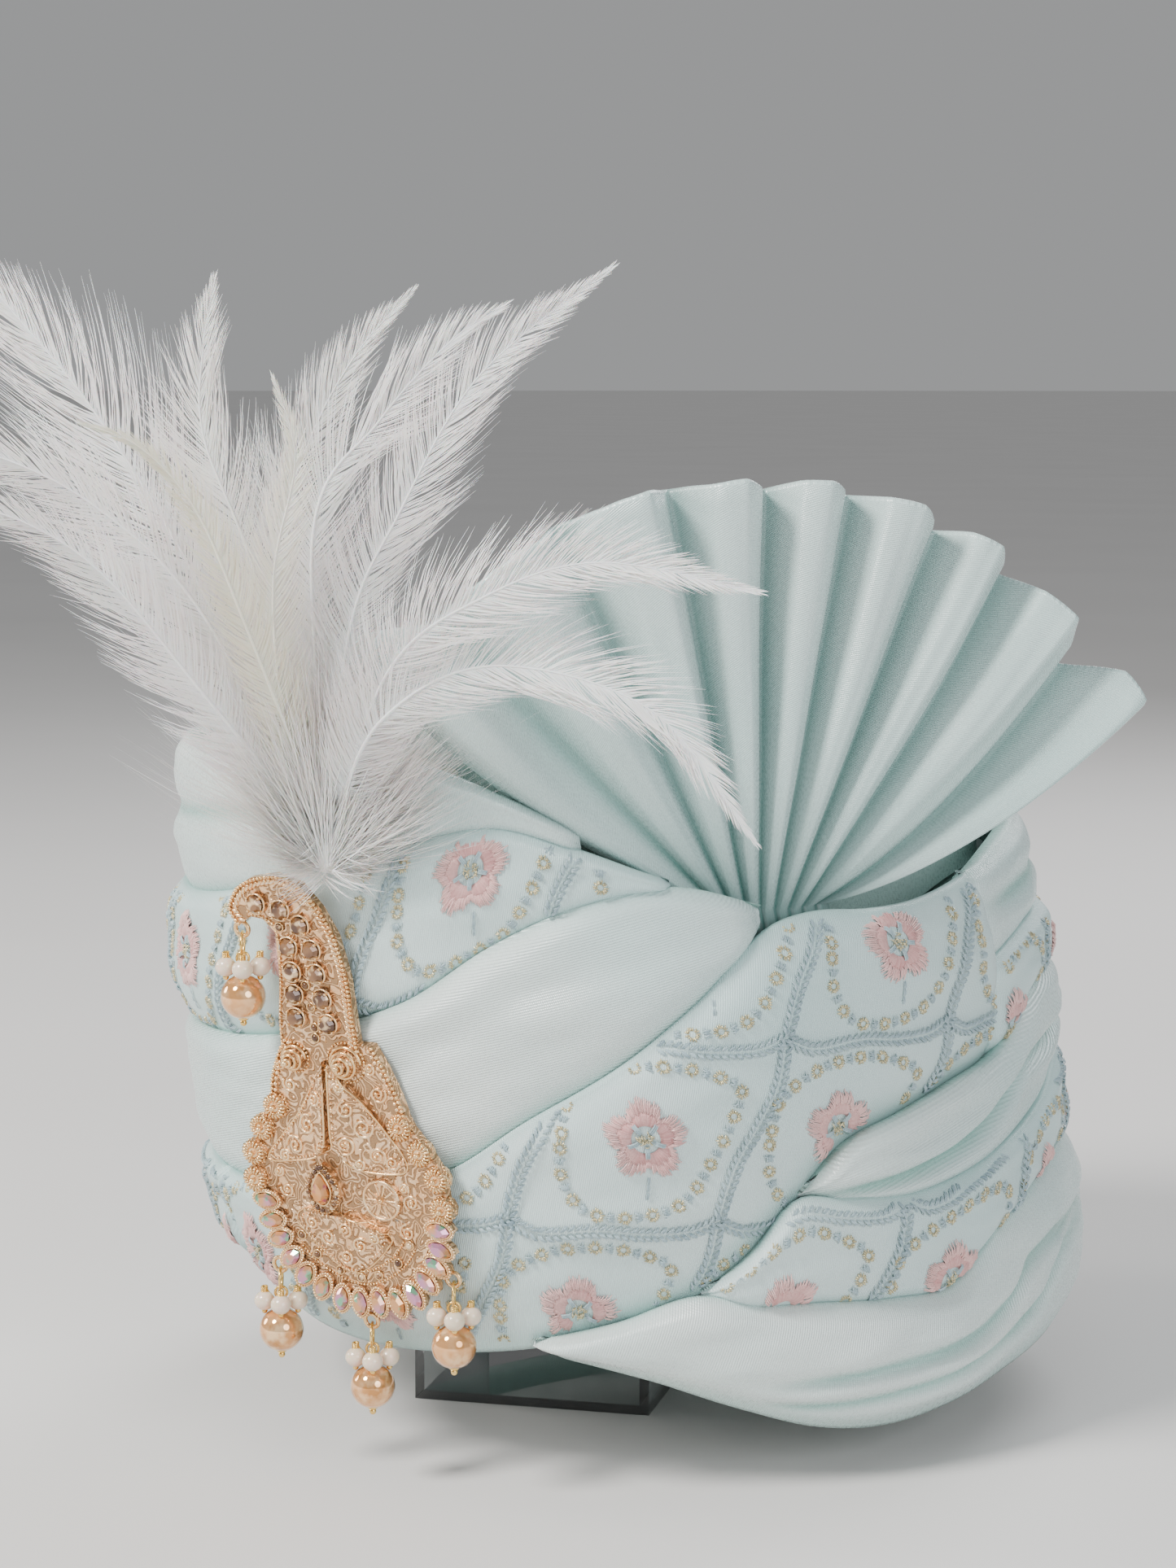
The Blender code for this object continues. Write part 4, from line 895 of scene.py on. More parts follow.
def feather_finish(name):
    made, tree, shader, place = start_material(name)
    broad = noise_value(tree, place["Object"], 70.0, 3.0, 0.35, 0.65)
    base = mix_colour(tree, broad, (0.93, 0.92, 0.91), (0.90, 0.86, 0.86))
    tree.links.new(mix_colour(tree, tone_value(tree), base, (0.86, 0.82, 0.66)),
                   shader.inputs["Base Color"])
    bump(tree, shader, broad, 0.10, 0.0003)
    set_inputs(shader, {"Roughness": 0.62, "Sheen Weight": 0.35, "Sheen Roughness": 0.4,
                        "Subsurface Weight": 0.25, "Subsurface Scale": 0.003})
    return made


def tissue_finish(name):
    made, tree, shader, place = start_material(name)
    warp = ribs(tree, place["UV"], 0, 0.0006)
    weft = ribs(tree, place["UV"], 90, 0.0006)
    spark = noise_value(tree, place["UV"], 1200.0, 2.0, 0.50, 0.66)
    # Painted glints: bright gold spots that stand in for the sparkle of the metal threads.
    base = mix_colour(tree, spark, (0.72, 0.72, 0.58), (0.98, 0.90, 0.62))
    tree.links.new(mix_colour(tree, weft, base, (0.66, 0.72, 0.64)), shader.inputs["Base Color"])
    first = bump(tree, shader, warp, 0.5, 0.0002)
    bump(tree, shader, weft, 0.5, 0.0002, first)
    set_inputs(shader, {"Roughness": 0.36, "Metallic": 0.35, "Alpha": 0.88})
    return made


def acrylic_finish(name):
    made, tree, shader, place = start_material(name)
    marks = noise_value(tree, place["Object"], 45.0, 5.0, 0.48, 0.75)
    set_roughness(tree, shader, marks, 0.03, 0.16)
    tint = mix_colour(tree, marks, (0.93, 0.96, 0.97), (0.86, 0.90, 0.92))
    tree.links.new(tint, shader.inputs["Base Color"])
    set_inputs(shader, {"Transmission Weight": 0.94, "IOR": 1.49, "Coat Weight": 0.3})
    return made


def floor_finish(name):
    made, tree, shader, place = start_material(name)
    broad = noise_value(tree, place["Object"], 3.0, 3.0, 0.3, 0.7)
    tree.links.new(mix_colour(tree, broad, (0.74, 0.73, 0.72), (0.77, 0.76, 0.75)),
                   shader.inputs["Base Color"])
    set_inputs(shader, {"Roughness": 0.85})
    return made


def all_finishes():
    """Every material, found by its name."""
    made = {}
    for make, table in ((cloth, CLOTHS), (thread, THREADS), (metal, METALS), (stone, STONES)):
        for row in table:
            made[row[0]] = make(*row)
    for make, name in ((glass_foil, "foil_glass"), (pearl_finish, "pearl_shell"),
                       (feather_finish, "feather_white"), (tissue_finish, "tissue_weave"),
                       (acrylic_finish, "acrylic_clear"), (floor_finish, "floor_pale")):
        made[name] = make(name)
    return made


# Wraps

def crease_relief(rows, turn, height, depth, half):
    """A sharp groove with a soft roll on each side, along a line of rows, and the painted shade that
    lies in the groove.
    """
    if turn < rows[0][0] - 4 or turn > rows[-1][0] + 8:
        return 0.0, 0.0
    fade = min(1.0, max(0.0, (turn - rows[0][0] + 4) / 10), max(0.0, (rows[-1][0] + 8 - turn) / 30))
    away = (height - level(rows, turn)) / half
    groove = math.exp(-away * away)
    roll = math.exp(-((abs(away) - 2.2) ** 2) / 1.6)
    return fade * depth * (0.30 * roll - groove), fade * math.exp(-(away * 1.3) ** 2)


DEEP_END = (5.0, 0.0076)        # degrees over which an end sinks, and how deep
UNDER_END = (4.0, 0.0026)
OVER_END = (0.9, 0.0050)
TIP_END = (2.5, 0.0045)
WRAPS = {  # start, end, low lap, high lap, section, creases, start's and end's sinking
    "top_satin": (99.7, 403, TOP_LAP, RIM, PLAIN_SECTION, ((TOP_CREASE, 0.0014, 0.0030),),
                  UNDER_END, TIP_END),
    "upper_embroidered": (99.7, 413.5, UPPER_LAP, TOP_LAP, PLAIN_SECTION, (), UNDER_END, TIP_END),
    "middle_satin": (65, 425, LOWER_LAP, UPPER_LAP, PLAIN_SECTION,
                     ((MIDDLE_CREASE, 0.0040, 0.0021),), DEEP_END, DEEP_END),
    "inner_embroidered": (51, 335.9, BASE_LAP, LOWER_LAP, PLAIN_SECTION, (), DEEP_END, OVER_END),
    "lower_embroidered": (334.4, 461.0, TUCK_LAP, LOWER_LAP, HEM_SECTION, (), UNDER_END, OVER_END),
    "base_satin": (29, 296, HEM, BASE_LAP, BASE_SECTION,
                   ((BASE_CREASE, 0.0024, 0.0022), (BASE_CREASE_LOW, 0.0020, 0.0020)),
                   DEEP_END, DEEP_END),
}
LAP_OVER = 0.0012      # a fold's edge stands this far over the lap below the next wrap
TUCK_UNDER = 0.0016


def end_drop(wrap, turn):
    """How far a wrap sinks near its ends, where it is tucked in."""
    first = max(0.0, 1 - (turn - wrap[0]) / wrap[6][0])
    last = max(0.0, 1 - (wrap[1] - turn) / wrap[7][0])
    return wrap[6][1] * first ** 2 + wrap[7][1] * last ** 2


def wrap_levels(wrap, turn):
    low = level(wrap[2], turn)
    high = level(wrap[3], turn)
    return low, max(high, low + 0.0009)


def soft_relief(turn, height, share):
    """Slack of the cloth: long soft waves that run with the wrap."""
    inside = max(0.0, 1 - (2 * share - 1) ** 4)
    turn = turn % 360
    ring = Vector((math.sin(math.radians(turn)), math.cos(math.radians(turn)), 0)) * 1.7
    wave = noise.noise(ring + Vector((0, 0, height * 60)))
    fine = noise.noise(ring * 3.1 + Vector((5, 0, height * 210)))
    pull = noise.noise(Vector((turn * 0.05 + height * 22, height * 95 - turn * 0.11, 2.0)))
    return inside * (0.0014 * wave + 0.0006 * fine + 0.0010 * pull)


def wrap_depth(wrap, turn, height):
    low, high = wrap_levels(wrap, turn)
    share = min(max((height - low) / (high - low), 0.0), 1.0)
    depth = smooth_value(wrap[4], share) * WRAP_THICKNESS
    # Painted shade: darker along the low edge, where it goes under the folded edge below, and on the
    # turn of the folded top edge.
    tone = 0.55 * max(0.0, 1 - share / 0.14) + 0.40 * max(0.0, (share - 0.955) / 0.045)
    depth += soft_relief(turn, height, share) * min(1.0, (high - low) / 0.02)
    for rows, deep, half in wrap[5]:
        change, dark = crease_relief(rows, turn, height, deep, half)
        inside = min(1.0, share / 0.12, (1 - share) / 0.12)
        depth += change * inside
        # Painted shade along the crease.
        tone = max(tone, 0.95 * dark * inside)
    return depth - end_drop(wrap, turn), tone


def wrap_mesh(name, wrap, finish):
    """Closed skin of one wrap: outer face, folded upper edge and inner face."""
    start, end = wrap[0], wrap[1]
    count = int((end - start) / WRAP_STEP)
    batch = Batch()
    uvs = []
    for k in range(count + 1):
        turn = start + (end - start) * k / count
        low, high = wrap_levels(wrap, turn)
        outer = []
        for j in range(WRAP_ROWS + 1):
            share = j / WRAP_ROWS
            share -= ROW_CROWDING * math.sin(math.tau * share)
            height = low + (high - low) * share
            depth, tone = wrap_depth(wrap, turn, height)
            stretch = LAP_OVER * max(0.0, (share - 0.8) / 0.2) ** 2
            tuck = TUCK_UNDER * max(0.0, (0.12 - share) / 0.12) ** 2
            outer.append((surface_point(turn, height + stretch - tuck, depth), tone, height))
        # Folded-under back and inner face of the wrap, with painted shade (tone 0.8).
        for share, depth in ((1.0, -0.55), (0.97, -0.85), (0.90, -1.0), (0.1, -1.0)):
            height = low + (high - low) * share
            extra = LAP_OVER * max(0.0, (share - 0.9) / 0.1)
            outer.append((surface_point(turn, height + extra, depth * WRAP_THICKNESS), 0.8, height))
        for point, tone, height in outer:
            batch.points.append(point)
            batch.tones.append(tone)
            uvs.append((turn * TURN_LENGTH, height))
    width = len(outer)
    batch.faces = grid_faces(count + 1, width)
    batch.faces.append(tuple(range(width)))
    batch.faces.append(tuple(reversed(range(count * width, (count + 1) * width))))
    made = new_piece(name, batch, finish, True, uvs)
    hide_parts("wrap_" + name.replace("cloth_", ""))
    return made


# Embroidery

def cloth_place(wrap, follow, along, across, lift=0.0):
    """Point of the cloth at a place of the pattern, or None outside the wrap."""
    turn = along / TURN_LENGTH
    if turn < wrap[0] + 1.6 or turn > wrap[1] - 1.0:
        return None
    low, high = wrap_levels(wrap, turn)
    height = across + (0.5 * (low + high) if follow else 0.0)
    if height < low + 0.0012 or height > high + 0.0002:
        return None
    depth = wrap_depth(wrap, turn, height)[0]
    return surface_point(turn, height, depth + lift)


class Pattern:
    """The embroidery of one wrap: three batches of thread and the way onto the cloth."""

    def __init__(self, wrap, follow, first, along, up, seed):
        self.wrap = wrap
        self.follow = follow
        self.first = first
        self.along = Vector(along)
        self.up = Vector(up)
        self.chance = random.Random(seed)
        self.blue = Batch()
        self.gold = Batch()
        self.pink = Batch()

    def place(self, spot, lift=0.0):
        return cloth_place(self.wrap, self.follow, spot.x, spot.y, lift)

    def normal(self, spot):
        step = 0.0012
        side = self.place(spot + Vector((step, 0)))
        back = self.place(spot - Vector((step, 0)))
        rise = self.place(spot + Vector((0, step)))
        fall = self.place(spot - Vector((0, step)))
        if None in (side, back, rise, fall):
            turn = math.radians(spot.x / TURN_LENGTH)
            return Vector((math.sin(turn), -math.cos(turn), 0))
        return (side - back).cross(rise - fall).normalized()

    def stitch(self, batch, spot, reach, width, bow, tone=0.0, lift=0.0001):
        start = self.place(spot, lift)
        end = self.place(spot + reach, lift)
        if start is None or end is None:
            return
        add_thread(batch, start, end, self.normal(spot + 0.5 * reach), width, bow, tone)

    def braid(self, line):
        """Two rows of slanted leaf stitches that meet along a line."""
        for spot, along in spaced_points(line, STITCH_PITCH):
            if self.place(spot) is None:
                continue
            side = Vector((-along.y, along.x))
            for hand in (-1, 1):
                slant = math.radians(STITCH_SLANT + self.chance.uniform(-5, 5))
                reach = along * math.cos(slant) + side * (hand * math.sin(slant))
                tone = self.chance.uniform(0.0, 0.7)
                for k in (-1, 0, 1):
                    shift = along * (0.00036 * k) + side * (hand * BRAID_HALF)
                    length = STITCH_LENGTH * self.chance.uniform(0.9, 1.08) * (1 - 0.12 * abs(k))
                    self.stitch(self.blue, spot + shift, reach * length, 1.15 * THREAD, 0.0011,
                                min(1.0, max(0.0, tone + 0.15 * abs(k))))

    def ring(self, spot):
        """Glitter ring of short radial stitches round an open middle."""
        for k in range(15):
            angle = math.tau * k / 15 + self.chance.uniform(-0.1, 0.1)
            spoke = Vector((math.cos(angle), math.sin(angle)))
            inner = 0.40 * RING_SIZE
            outer = RING_SIZE * self.chance.uniform(0.86, 1.12)
            self.stitch(self.gold, spot + spoke * inner, spoke * (outer - inner), 1.3 * THREAD,
                        0.00045, self.chance.uniform(0, 0.8))

    def knot(self, spot, along):
        """Grey-blue knot of five strands between two rings."""
        side = Vector((-along.y, along.x))
        for k in range(5):
            lean = self.chance.uniform(-0.5, 0.5)
            direction = (along + side * lean).normalized()
            start = spot - direction * 0.0011 + side * (0.00040 * (k - 2))
            self.stitch(self.blue, start, direction * 0.0022, 1.1 * THREAD, 0.0008,
                        self.chance.uniform(0, 0.6))
        for hand in (-1, 1):
            self.stitch(self.blue, spot, (side * hand + along * 0.4) * 0.0018, THREAD, 0.0005, 0.2)

    def flower(self, spot, turned):
        """Five notched petals of satin stitch round a grey and gold middle."""
        for petal in range(PETALS):
            middle = turned + math.tau * petal / PETALS
            for k in range(25):
                share = (k - 12) / 12.5
                angle = middle + share * math.pi / PETALS
                notch = 0.60 + 0.40 * math.sqrt(max(0.0, math.cos(share * math.pi * 0.5)))
                reach = PETAL_REACH * notch * self.chance.uniform(0.90, 1.07)
                spoke = Vector((math.cos(angle), math.sin(angle)))
                start = 0.0038
                self.stitch(self.pink, spot + spoke * start, spoke * (0.55 * (reach - start)),
                            1.15 * THREAD, 0.0007, self.chance.uniform(0.35, 1.0))
                half = start + 0.42 * (reach - start)
                self.stitch(self.pink, spot + spoke * half, spoke * (reach - half), 1.2 * THREAD,
                            self.chance.uniform(0.0006, 0.0012), self.chance.uniform(0.0, 0.5))
            seam = middle + math.pi / PETALS
            spoke = Vector((math.cos(seam), math.sin(seam)))
            side = Vector((-spoke.y, spoke.x))
            for k in (-1, 0, 1):
                self.stitch(self.blue, spot + spoke * 0.0016 + side * (0.0004 * k), spoke * 0.0042,
                            1.2 * THREAD, 0.0014, 0.3 + 0.2 * k)
        for k in range(24):
            angle = self.chance.uniform(0, math.tau)
            away = 0.0022 * math.sqrt(self.chance.random())
            spoke = Vector((math.cos(angle), math.sin(angle)))
            turn = self.chance.uniform(0, math.tau)
            reach = Vector((math.cos(turn), math.sin(turn))) * 0.0015
            self.stitch(self.gold, spot + spoke * away - 0.5 * reach, reach, THREAD, 0.0010,
                        self.chance.uniform(0, 0.9))
        stem = [spot + Vector((-0.0002, -PETAL_REACH + 0.0006)) + Vector((-0.0004 * k, -0.0021 * k))
                for k in range(4)]
        for first, second in zip(stem, stem[1:]):
            for shift in (-0.00022, 0.00022):
                self.stitch(self.blue, first + Vector((shift, 0)), second - first, THREAD, 0.0004, 0.3)

    def cell(self, middle):
        for rows in (BRAID_UP, BRAID_ALONG):
            self.braid(curve_points([middle + Vector(row) for row in rows], 60))
        outline = [middle + Vector(row) for row in RING_OUTLINE]
        line = curve_points(outline, 120, closed=True)
        line.append(line[0])
        for number, (spot, along) in enumerate(spaced_points(line, 0.5 * RING_PITCH)):
            if self.place(spot) is None:
                continue
            if number % 2:
                self.knot(spot, along)
            else:
                self.ring(spot)
        self.flower(middle, math.radians(90 + self.chance.uniform(-12, 12)))

    def fill(self, rows):
        """Every cell of the lattice that can touch the wrap."""
        first_turn, last_turn = self.wrap[0] * TURN_LENGTH, self.wrap[1] * TURN_LENGTH
        for row in rows:
            origin = self.first + self.up * row
            low = math.floor((first_turn - origin.x) / self.along.x) - 1
            high = math.ceil((last_turn - origin.x) / self.along.x) + 1
            for column in range(low, high + 1):
                self.cell(origin + self.along * column)

    def pieces(self, name, blue, gold, pink):
        made = []
        for label, batch, finish, slot in (("braid", self.blue, blue, "embroidered_silk"),
                                           ("rings", self.gold, gold, "gold_tissue"),
                                           ("petals", self.pink, pink, "embroidered_silk")):
            if batch.faces:
                made.append(new_piece("%s_%s" % (name, label), batch, finish))
        return made


# Core, crown and tissue

def ring_grid(name, rows, finish, tones, uv_scale, closed_across=True):
    """Closed skin round the head from a list of sections."""
    batch = Batch()
    uvs = []
    for k, section in enumerate(rows):
        run = 0.0
        for j, point in enumerate(section):
            if j:
                run += (point - section[j - 1]).length
            batch.points.append(point)
            batch.tones.append(tones(k, j))
            uvs.append((k * uv_scale, run))
    batch.faces = grid_faces(len(rows), len(rows[0]), True, closed_across)
    return new_piece(name, batch, finish, True, uvs)


def core_section(turn):
    """Wound cloth: flat strips that spiral inside the turban, one lapped on the next."""
    inset = -WRAP_THICKNESS - CORE_GAP
    low = hem_level(turn) + CORE_INSET_HEM
    high = core_top(turn)
    middle = low + CORE_WAIST * (high - low)
    section = [
        surface_point(turn, low + 0.0004, inset - CORE_INSET_HEM),
        surface_point(turn, low + CORE_INSET_HEM, inset - 0.0004),
        surface_point(turn, middle, inset - 0.0004),
        surface_point(turn, TOP_DRAW_LEVEL, inset - CORE_RELIEF),
        surface_point(turn, high, inset - CORE_RELIEF),
        head_point(turn, high),
    ]
    for k in range(4 * CORE_STRIPS + 1):
        share = k / (4 * CORE_STRIPS)
        height = high + (low + CORE_INSET_HEM - high) * share
        phase = (share * CORE_STRIPS + turn / 360) % 1.0
        point = head_point(turn, height)
        out = Vector((point.x, point.y, 0)).normalized()
        section.append(point + out * (CORE_STRIP_DEPTH * phase ** 2))
    section.append(head_point(turn, low + 0.0006).lerp(surface_point(turn, low, inset), 0.14))
    return section


def crown_foot(turn):
    """Height of the crown's foot, which lies slack where the core's top is steep."""
    steep = abs(core_top(turn + 12) - core_top(turn - 12))
    return core_top(turn) + CROWN_GAP + CROWN_SLACK * steep


def crown_shoulder(turn):
    """How wide the crown's foot is, narrower where the fan stands."""
    away = abs((turn - FAN_TURN + 12 + 180) % 360 - 180)
    ease = min(max((away - 38) / 40, 0.0), 1.0)
    ease = ease * ease * (3 - 2 * ease)
    return CROWN_SHARE_AT_FAN + (1 - CROWN_SHARE_AT_FAN) * ease


def crown_section(turn):
    """Gathered dome outside, smooth hollow inside."""
    foot = crown_foot(turn)
    inside = head_point(turn, foot)
    inset = -WRAP_THICKNESS - CORE_GAP - CROWN_INSET
    outside = inside.lerp(surface_point(turn, foot, inset), crown_shoulder(turn))
    centre = Vector((0, -LEAN * (foot - LEAN_LEVEL), 0))
    section = [inside.copy()]
    for k in range(17):
        share = 1.0 - (k / 17) ** 1.4 * 0.96
        point = centre.lerp(outside, share)
        fold = noise.noise(Vector((math.cos(math.radians(turn)) * 7, math.sin(math.radians(turn)) * 7,
                                   share * 1.5)))
        fold = abs(fold) * -2 + 0.5
        point.z = foot + (CROWN_TOP - foot) * (1 - min(share, 1.0) ** CROWN_POWER) ** (1 / CROWN_POWER)
        point.z += CROWN_FOLD * fold * math.sin(math.pi * min(1.0, (1 - share) * 1.3))
        section.append(point)
    section.append(Vector((0, -LEAN * (CROWN_TOP - LEAN_LEVEL), CROWN_TOP)))
    return section


def crown_ceiling(turn):
    """Flat cloth over the head opening, with a rounded edge."""
    foot = crown_foot(turn)
    inside = head_point(turn, foot)
    section = []
    for share, height in ((1.0, foot), (0.985, foot + 0.4 * (CROWN_HOLLOW_TOP - foot)),
                          (0.95, 0.5 * (foot + CROWN_HOLLOW_TOP)),
                          (0.90, foot + 0.93 * (CROWN_HOLLOW_TOP - foot)),
                          (HOLLOW_FLAT, CROWN_HOLLOW_TOP), (0.45, CROWN_HOLLOW_TOP)):
        point = inside * share
        point.z = height
        section.append(point)
    section.append(Vector((0, 0, CROWN_HOLLOW_TOP)))
    return section


def tissue(finish):
    """Gold tissue that stands up in soft ripples between the rim and the crown."""
    start, end = TISSUE_TURNS
    batch = Batch()
    uvs = []
    for k in range(TISSUE_STEPS + 1):
        turn = start + (end - start) * k / TISSUE_STEPS
        fade = min(1.0, (turn - start) / 20, (end - turn) / 30)
        foot = rim_level(turn) - 0.5 * CORE_INSET_TOP
        ripple = noise.noise(Vector((turn * 0.16, 3.0, 0.0)))
        edge = noise.noise(Vector((turn * 0.33, 8.0, 0.0)))
        high = rim_level(turn) + TISSUE_RISE * (0.15 + 0.85 * fade) - 0.0012 + TISSUE_EDGE * edge
        for j in range(TISSUE_ROWS):
            share = j / (TISSUE_ROWS - 1)
            out = -TISSUE_INSET - 0.0010 + TISSUE_RIPPLE * ripple * share
            batch.points.append(surface_point(turn, foot + (high - foot) * share, out))
            batch.tones.append(0.0)
            uvs.append((turn * TURN_LENGTH, foot + (high - foot) * share))
    batch.faces = grid_faces(TISSUE_STEPS + 1, TISSUE_ROWS, False, False)
    made = new_piece("cloth_tissue", batch, finish, True, uvs)
    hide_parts("tissue_fold")
    return made


# Pleated fan

def fan_spokes():
    """Every fold line of the fan: angle, reach, sag and swing from valley to ridge."""
    spokes = []
    for number, (valley, valley_reach, ridge, ridge_reach, sag) in enumerate(PLEATS):
        if number + 1 < len(PLEATS):
            following = (PLEATS[number + 1][0], PLEATS[number + 1][1], PLEATS[number + 1][4])
        else:
            following = FAN_LAST
        next_angle, next_reach, next_sag = following
        spokes.append((valley, valley_reach, sag, -1.0))
        spokes.append((0.45 * valley + 0.55 * ridge, ridge_reach * 0.995, sag, 0.70))
        spokes.append((0.75 * ridge + 0.25 * next_angle, ridge_reach, sag, 1.0))
        spokes.append((0.35 * ridge + 0.65 * next_angle, 0.5 * (ridge_reach + next_reach),
                       0.5 * (sag + next_sag), 0.35))
    spokes.append((FAN_LAST[0], FAN_LAST[1], FAN_LAST[2], -0.6))
    return spokes


def fan_line(origin, axes, share, spoke):
    """One fold line from its tucked foot to the rim."""
    across, up, out = axes
    angle, reach, sag, swing = spoke
    turn = FAN_ROOT_TURNS[0] + (FAN_ROOT_TURNS[1] - FAN_ROOT_TURNS[0]) * share
    rise = FAN_ROOT_RISE[0] + (FAN_ROOT_RISE[1] - FAN_ROOT_RISE[0]) * share
    start = surface_point(turn, rim_level(turn) + rise, -FAN_ROOT_INSET)
    foot = surface_point(turn, core_top(turn) + FAN_SEAT_GAP, -FAN_ROOT_INSET)
    radians = math.radians(angle)
    direction = across * math.cos(radians) + up * math.sin(radians)
    line = [(foot, 0.0)]
    for k in range(FAN_RINGS + 1):
        ring = k / FAN_RINGS
        wobble = noise.noise(Vector((angle * 0.11, ring * 2.6, 4.0)))
        crease = noise.noise(Vector((angle * 0.42, ring * 1.6, 9.0)))
        bend = (0.0024 * wobble + 0.0016 * crease) * ring
        tip = origin + direction * (reach * FAN_RADIUS)
        bow = 4 * ring * (1 - ring) * sag * FAN_RADIUS
        deep = FAN_ROOT_SWING + (FAN_RIM_SWING - FAN_ROOT_SWING) * ring ** 0.8
        point = start.lerp(tip, ring) + up * bow + out * (deep * swing + bend)
        line.append((point, ring))
    return line


def smooth_spoke(spokes, place):
    """A fold line between two others, half smooth and half straight."""
    index = min(int(place), len(spokes) - 2)
    share = place - index
    rows = [Vector(spokes[min(max(index + j, 0), len(spokes) - 1)]) for j in (-1, 0, 1, 2)]
    before, first, second, after = rows
    found = 0.5 * ((2 * first) + (second - before) * share
                   + (2 * before - 5 * first + 4 * second - after) * share ** 2
                   + (3 * first - before - 3 * second + after) * share ** 3)
    return tuple(0.5 * found + 0.5 * first.lerp(second, share))


def fan(finish):
    """The pleated cloth: fold lines swept from front to back, with a turned rim."""
    axes = facing_axes(FAN_FACING, FAN_LEAN)
    origin = surface_point(FAN_TURN, FAN_ROOT_LEVEL, -FAN_INSET)
    spokes = fan_spokes()
    half = axes[2] * (0.5 * FAN_THICKNESS)
    total = (len(spokes) - 1) * FAN_STEPS
    batch = Batch()
    uvs = []
    run = 0.0
    last_tip = None
    for k in range(total + 1):
        spoke = smooth_spoke(spokes, k / FAN_STEPS)
        line = fan_line(origin, axes, k / total, spoke)
        tip = line[-1][0]
        if last_tip is not None:
            run += (tip - last_tip).length
        last_tip = tip
        rows = [(point + half, ring) for point, ring in line]
        edge = (line[-1][0] - line[-2][0]).normalized() * (0.5 * FAN_THICKNESS)
        rows.append((tip + edge * 0.8 + half * 0.5, 1.0))
        rows.append((tip + edge * 0.8 - half * 0.5, 1.0))
        rows += [(point - half, ring) for point, ring in reversed(line)]
        # Painted shade in the pleats' valleys and towards the fan's foot, where it goes down into the
        # turban.
        dark = max(0.0, -spoke[3]) ** 1.2
        for point, ring in rows:
            batch.points.append(point)
            shade = dark * (0.9 - 0.35 * ring) + 0.5 * max(0.0, 1 - ring / 0.35) ** 2
            batch.tones.append(min(1.0, shade))
            uvs.append((run * 0.9, ring * FAN_RADIUS))
    width = len(rows)
    batch.faces = grid_faces(total + 1, width)
    for base in (0, total * width):
        for j in range(width // 2 - 1):
            face = (base + j, base + j + 1, base + width - 2 - j, base + width - 1 - j)
            batch.faces.append(face if base else tuple(reversed(face)))
    made = new_piece("cloth_fan", batch, finish, True, uvs)
    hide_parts("pleated_fan")
    return made


# Brooch

def brooch_matrix():
    origin = surface_point(BROOCH_TURN, BROOCH_LEVEL, BROOCH_STANDOFF)
    turned = Matrix(facing_axes(BROOCH_FACING, BROOCH_DIP)).transposed().to_4x4()
    return Matrix.Translation(origin) @ turned


class Brooch:
    """Places small gold forms on the cast plate by casting down onto it."""

    def __init__(self, plate):
        self.matrix = brooch_matrix()
        self.frame = self.matrix.to_3x3()
        mesh = plate.data
        self.tree = BVHTree.FromPolygons([v.co for v in mesh.vertices],
                                         [tuple(p.vertices) for p in mesh.polygons])
        self.matte = Batch()
        self.bright = Batch()
        self.stones = Batch()

    def height(self, x, y):
        start = self.matrix @ Vector((x, y, CAST_HEIGHT))
        direction = self.frame @ Vector((0, 0, -1))
        hit = self.tree.ray_cast(start, direction, 0.03)
        if hit[0] is None:
            return None
        return CAST_HEIGHT - hit[3]

    def point(self, x, y, lift):
        found = self.height(x, y)
        if found is None:
            found = MISSED_PLATE
        return self.matrix @ Vector((x, y, found + lift))

    def bead(self, batch, x, y, radius, sink=0.2, around=8, rows=5):
        add_ball(batch, self.point(x, y, radius * (1 - 2 * sink)), radius, self.frame, around, rows)

    def bead_row(self, batch, line, pitch, radius, sink=0.2):
        for spot, along in spaced_points(line, pitch):
            self.bead(batch, spot.x, spot.y, radius, sink, 7, 4)

    def wire(self, batch, line, radius, lift=0.0):
        points = [self.point(spot.x, spot.y, lift) for spot in line]
        smooth = []
        for k in range(len(points)):
            near = points[max(k - 1, 0):k + 2]
            smooth.append(sum(near, Vector((0, 0, 0))) / len(near))
        add_tube(batch, smooth, radius, 6)


def scaled(row):
    """Across and up in metres from a row in shares of BROOCH_REACH."""
    return row[0] * BROOCH_REACH, row[1] * BROOCH_REACH


def flat(rows):
    return [Vector(scaled(row)) for row in rows]


def shrunk(line, amount):
    """A flat line moved to its left by an amount."""
    moved = []
    for k, point in enumerate(line):
        along = (line[min(k + 1, len(line) - 1)] - line[max(k - 1, 0)]).normalized()
        moved.append(point + Vector((-along.y, along.x)) * amount)
    return moved


def almond_line(x, y, length, width, degrees, count=24):
    turned = math.radians(degrees)
    line = []
    for k in range(count + 1):
        angle = math.tau * k / count
        along = 0.5 * length * math.cos(angle)
        aside = 0.5 * width * math.sin(angle) * (0.80 + 0.20 * abs(math.sin(angle)))
        line.append(Vector((x + along * math.cos(turned) - aside * math.sin(turned),
                            y + along * math.sin(turned) + aside * math.cos(turned))))
    return line


def teardrop_line(x, y, width, length, count=30):
    line = []
    for k in range(count + 1):
        angle = math.tau * k / count + math.pi / 2
        narrow = 1.0 if math.sin(angle) < 0 else 1.0 - 0.55 * math.sin(angle)
        line.append(Vector((x + 0.5 * width * math.cos(angle) * narrow,
                            y + 0.5 * length * math.sin(angle))))
    return line


def flat_circle(x, y, radius, count=20):
    return [Vector((x + radius * math.cos(math.tau * k / count),
                    y + radius * math.sin(math.tau * k / count))) for k in range(count + 1)]


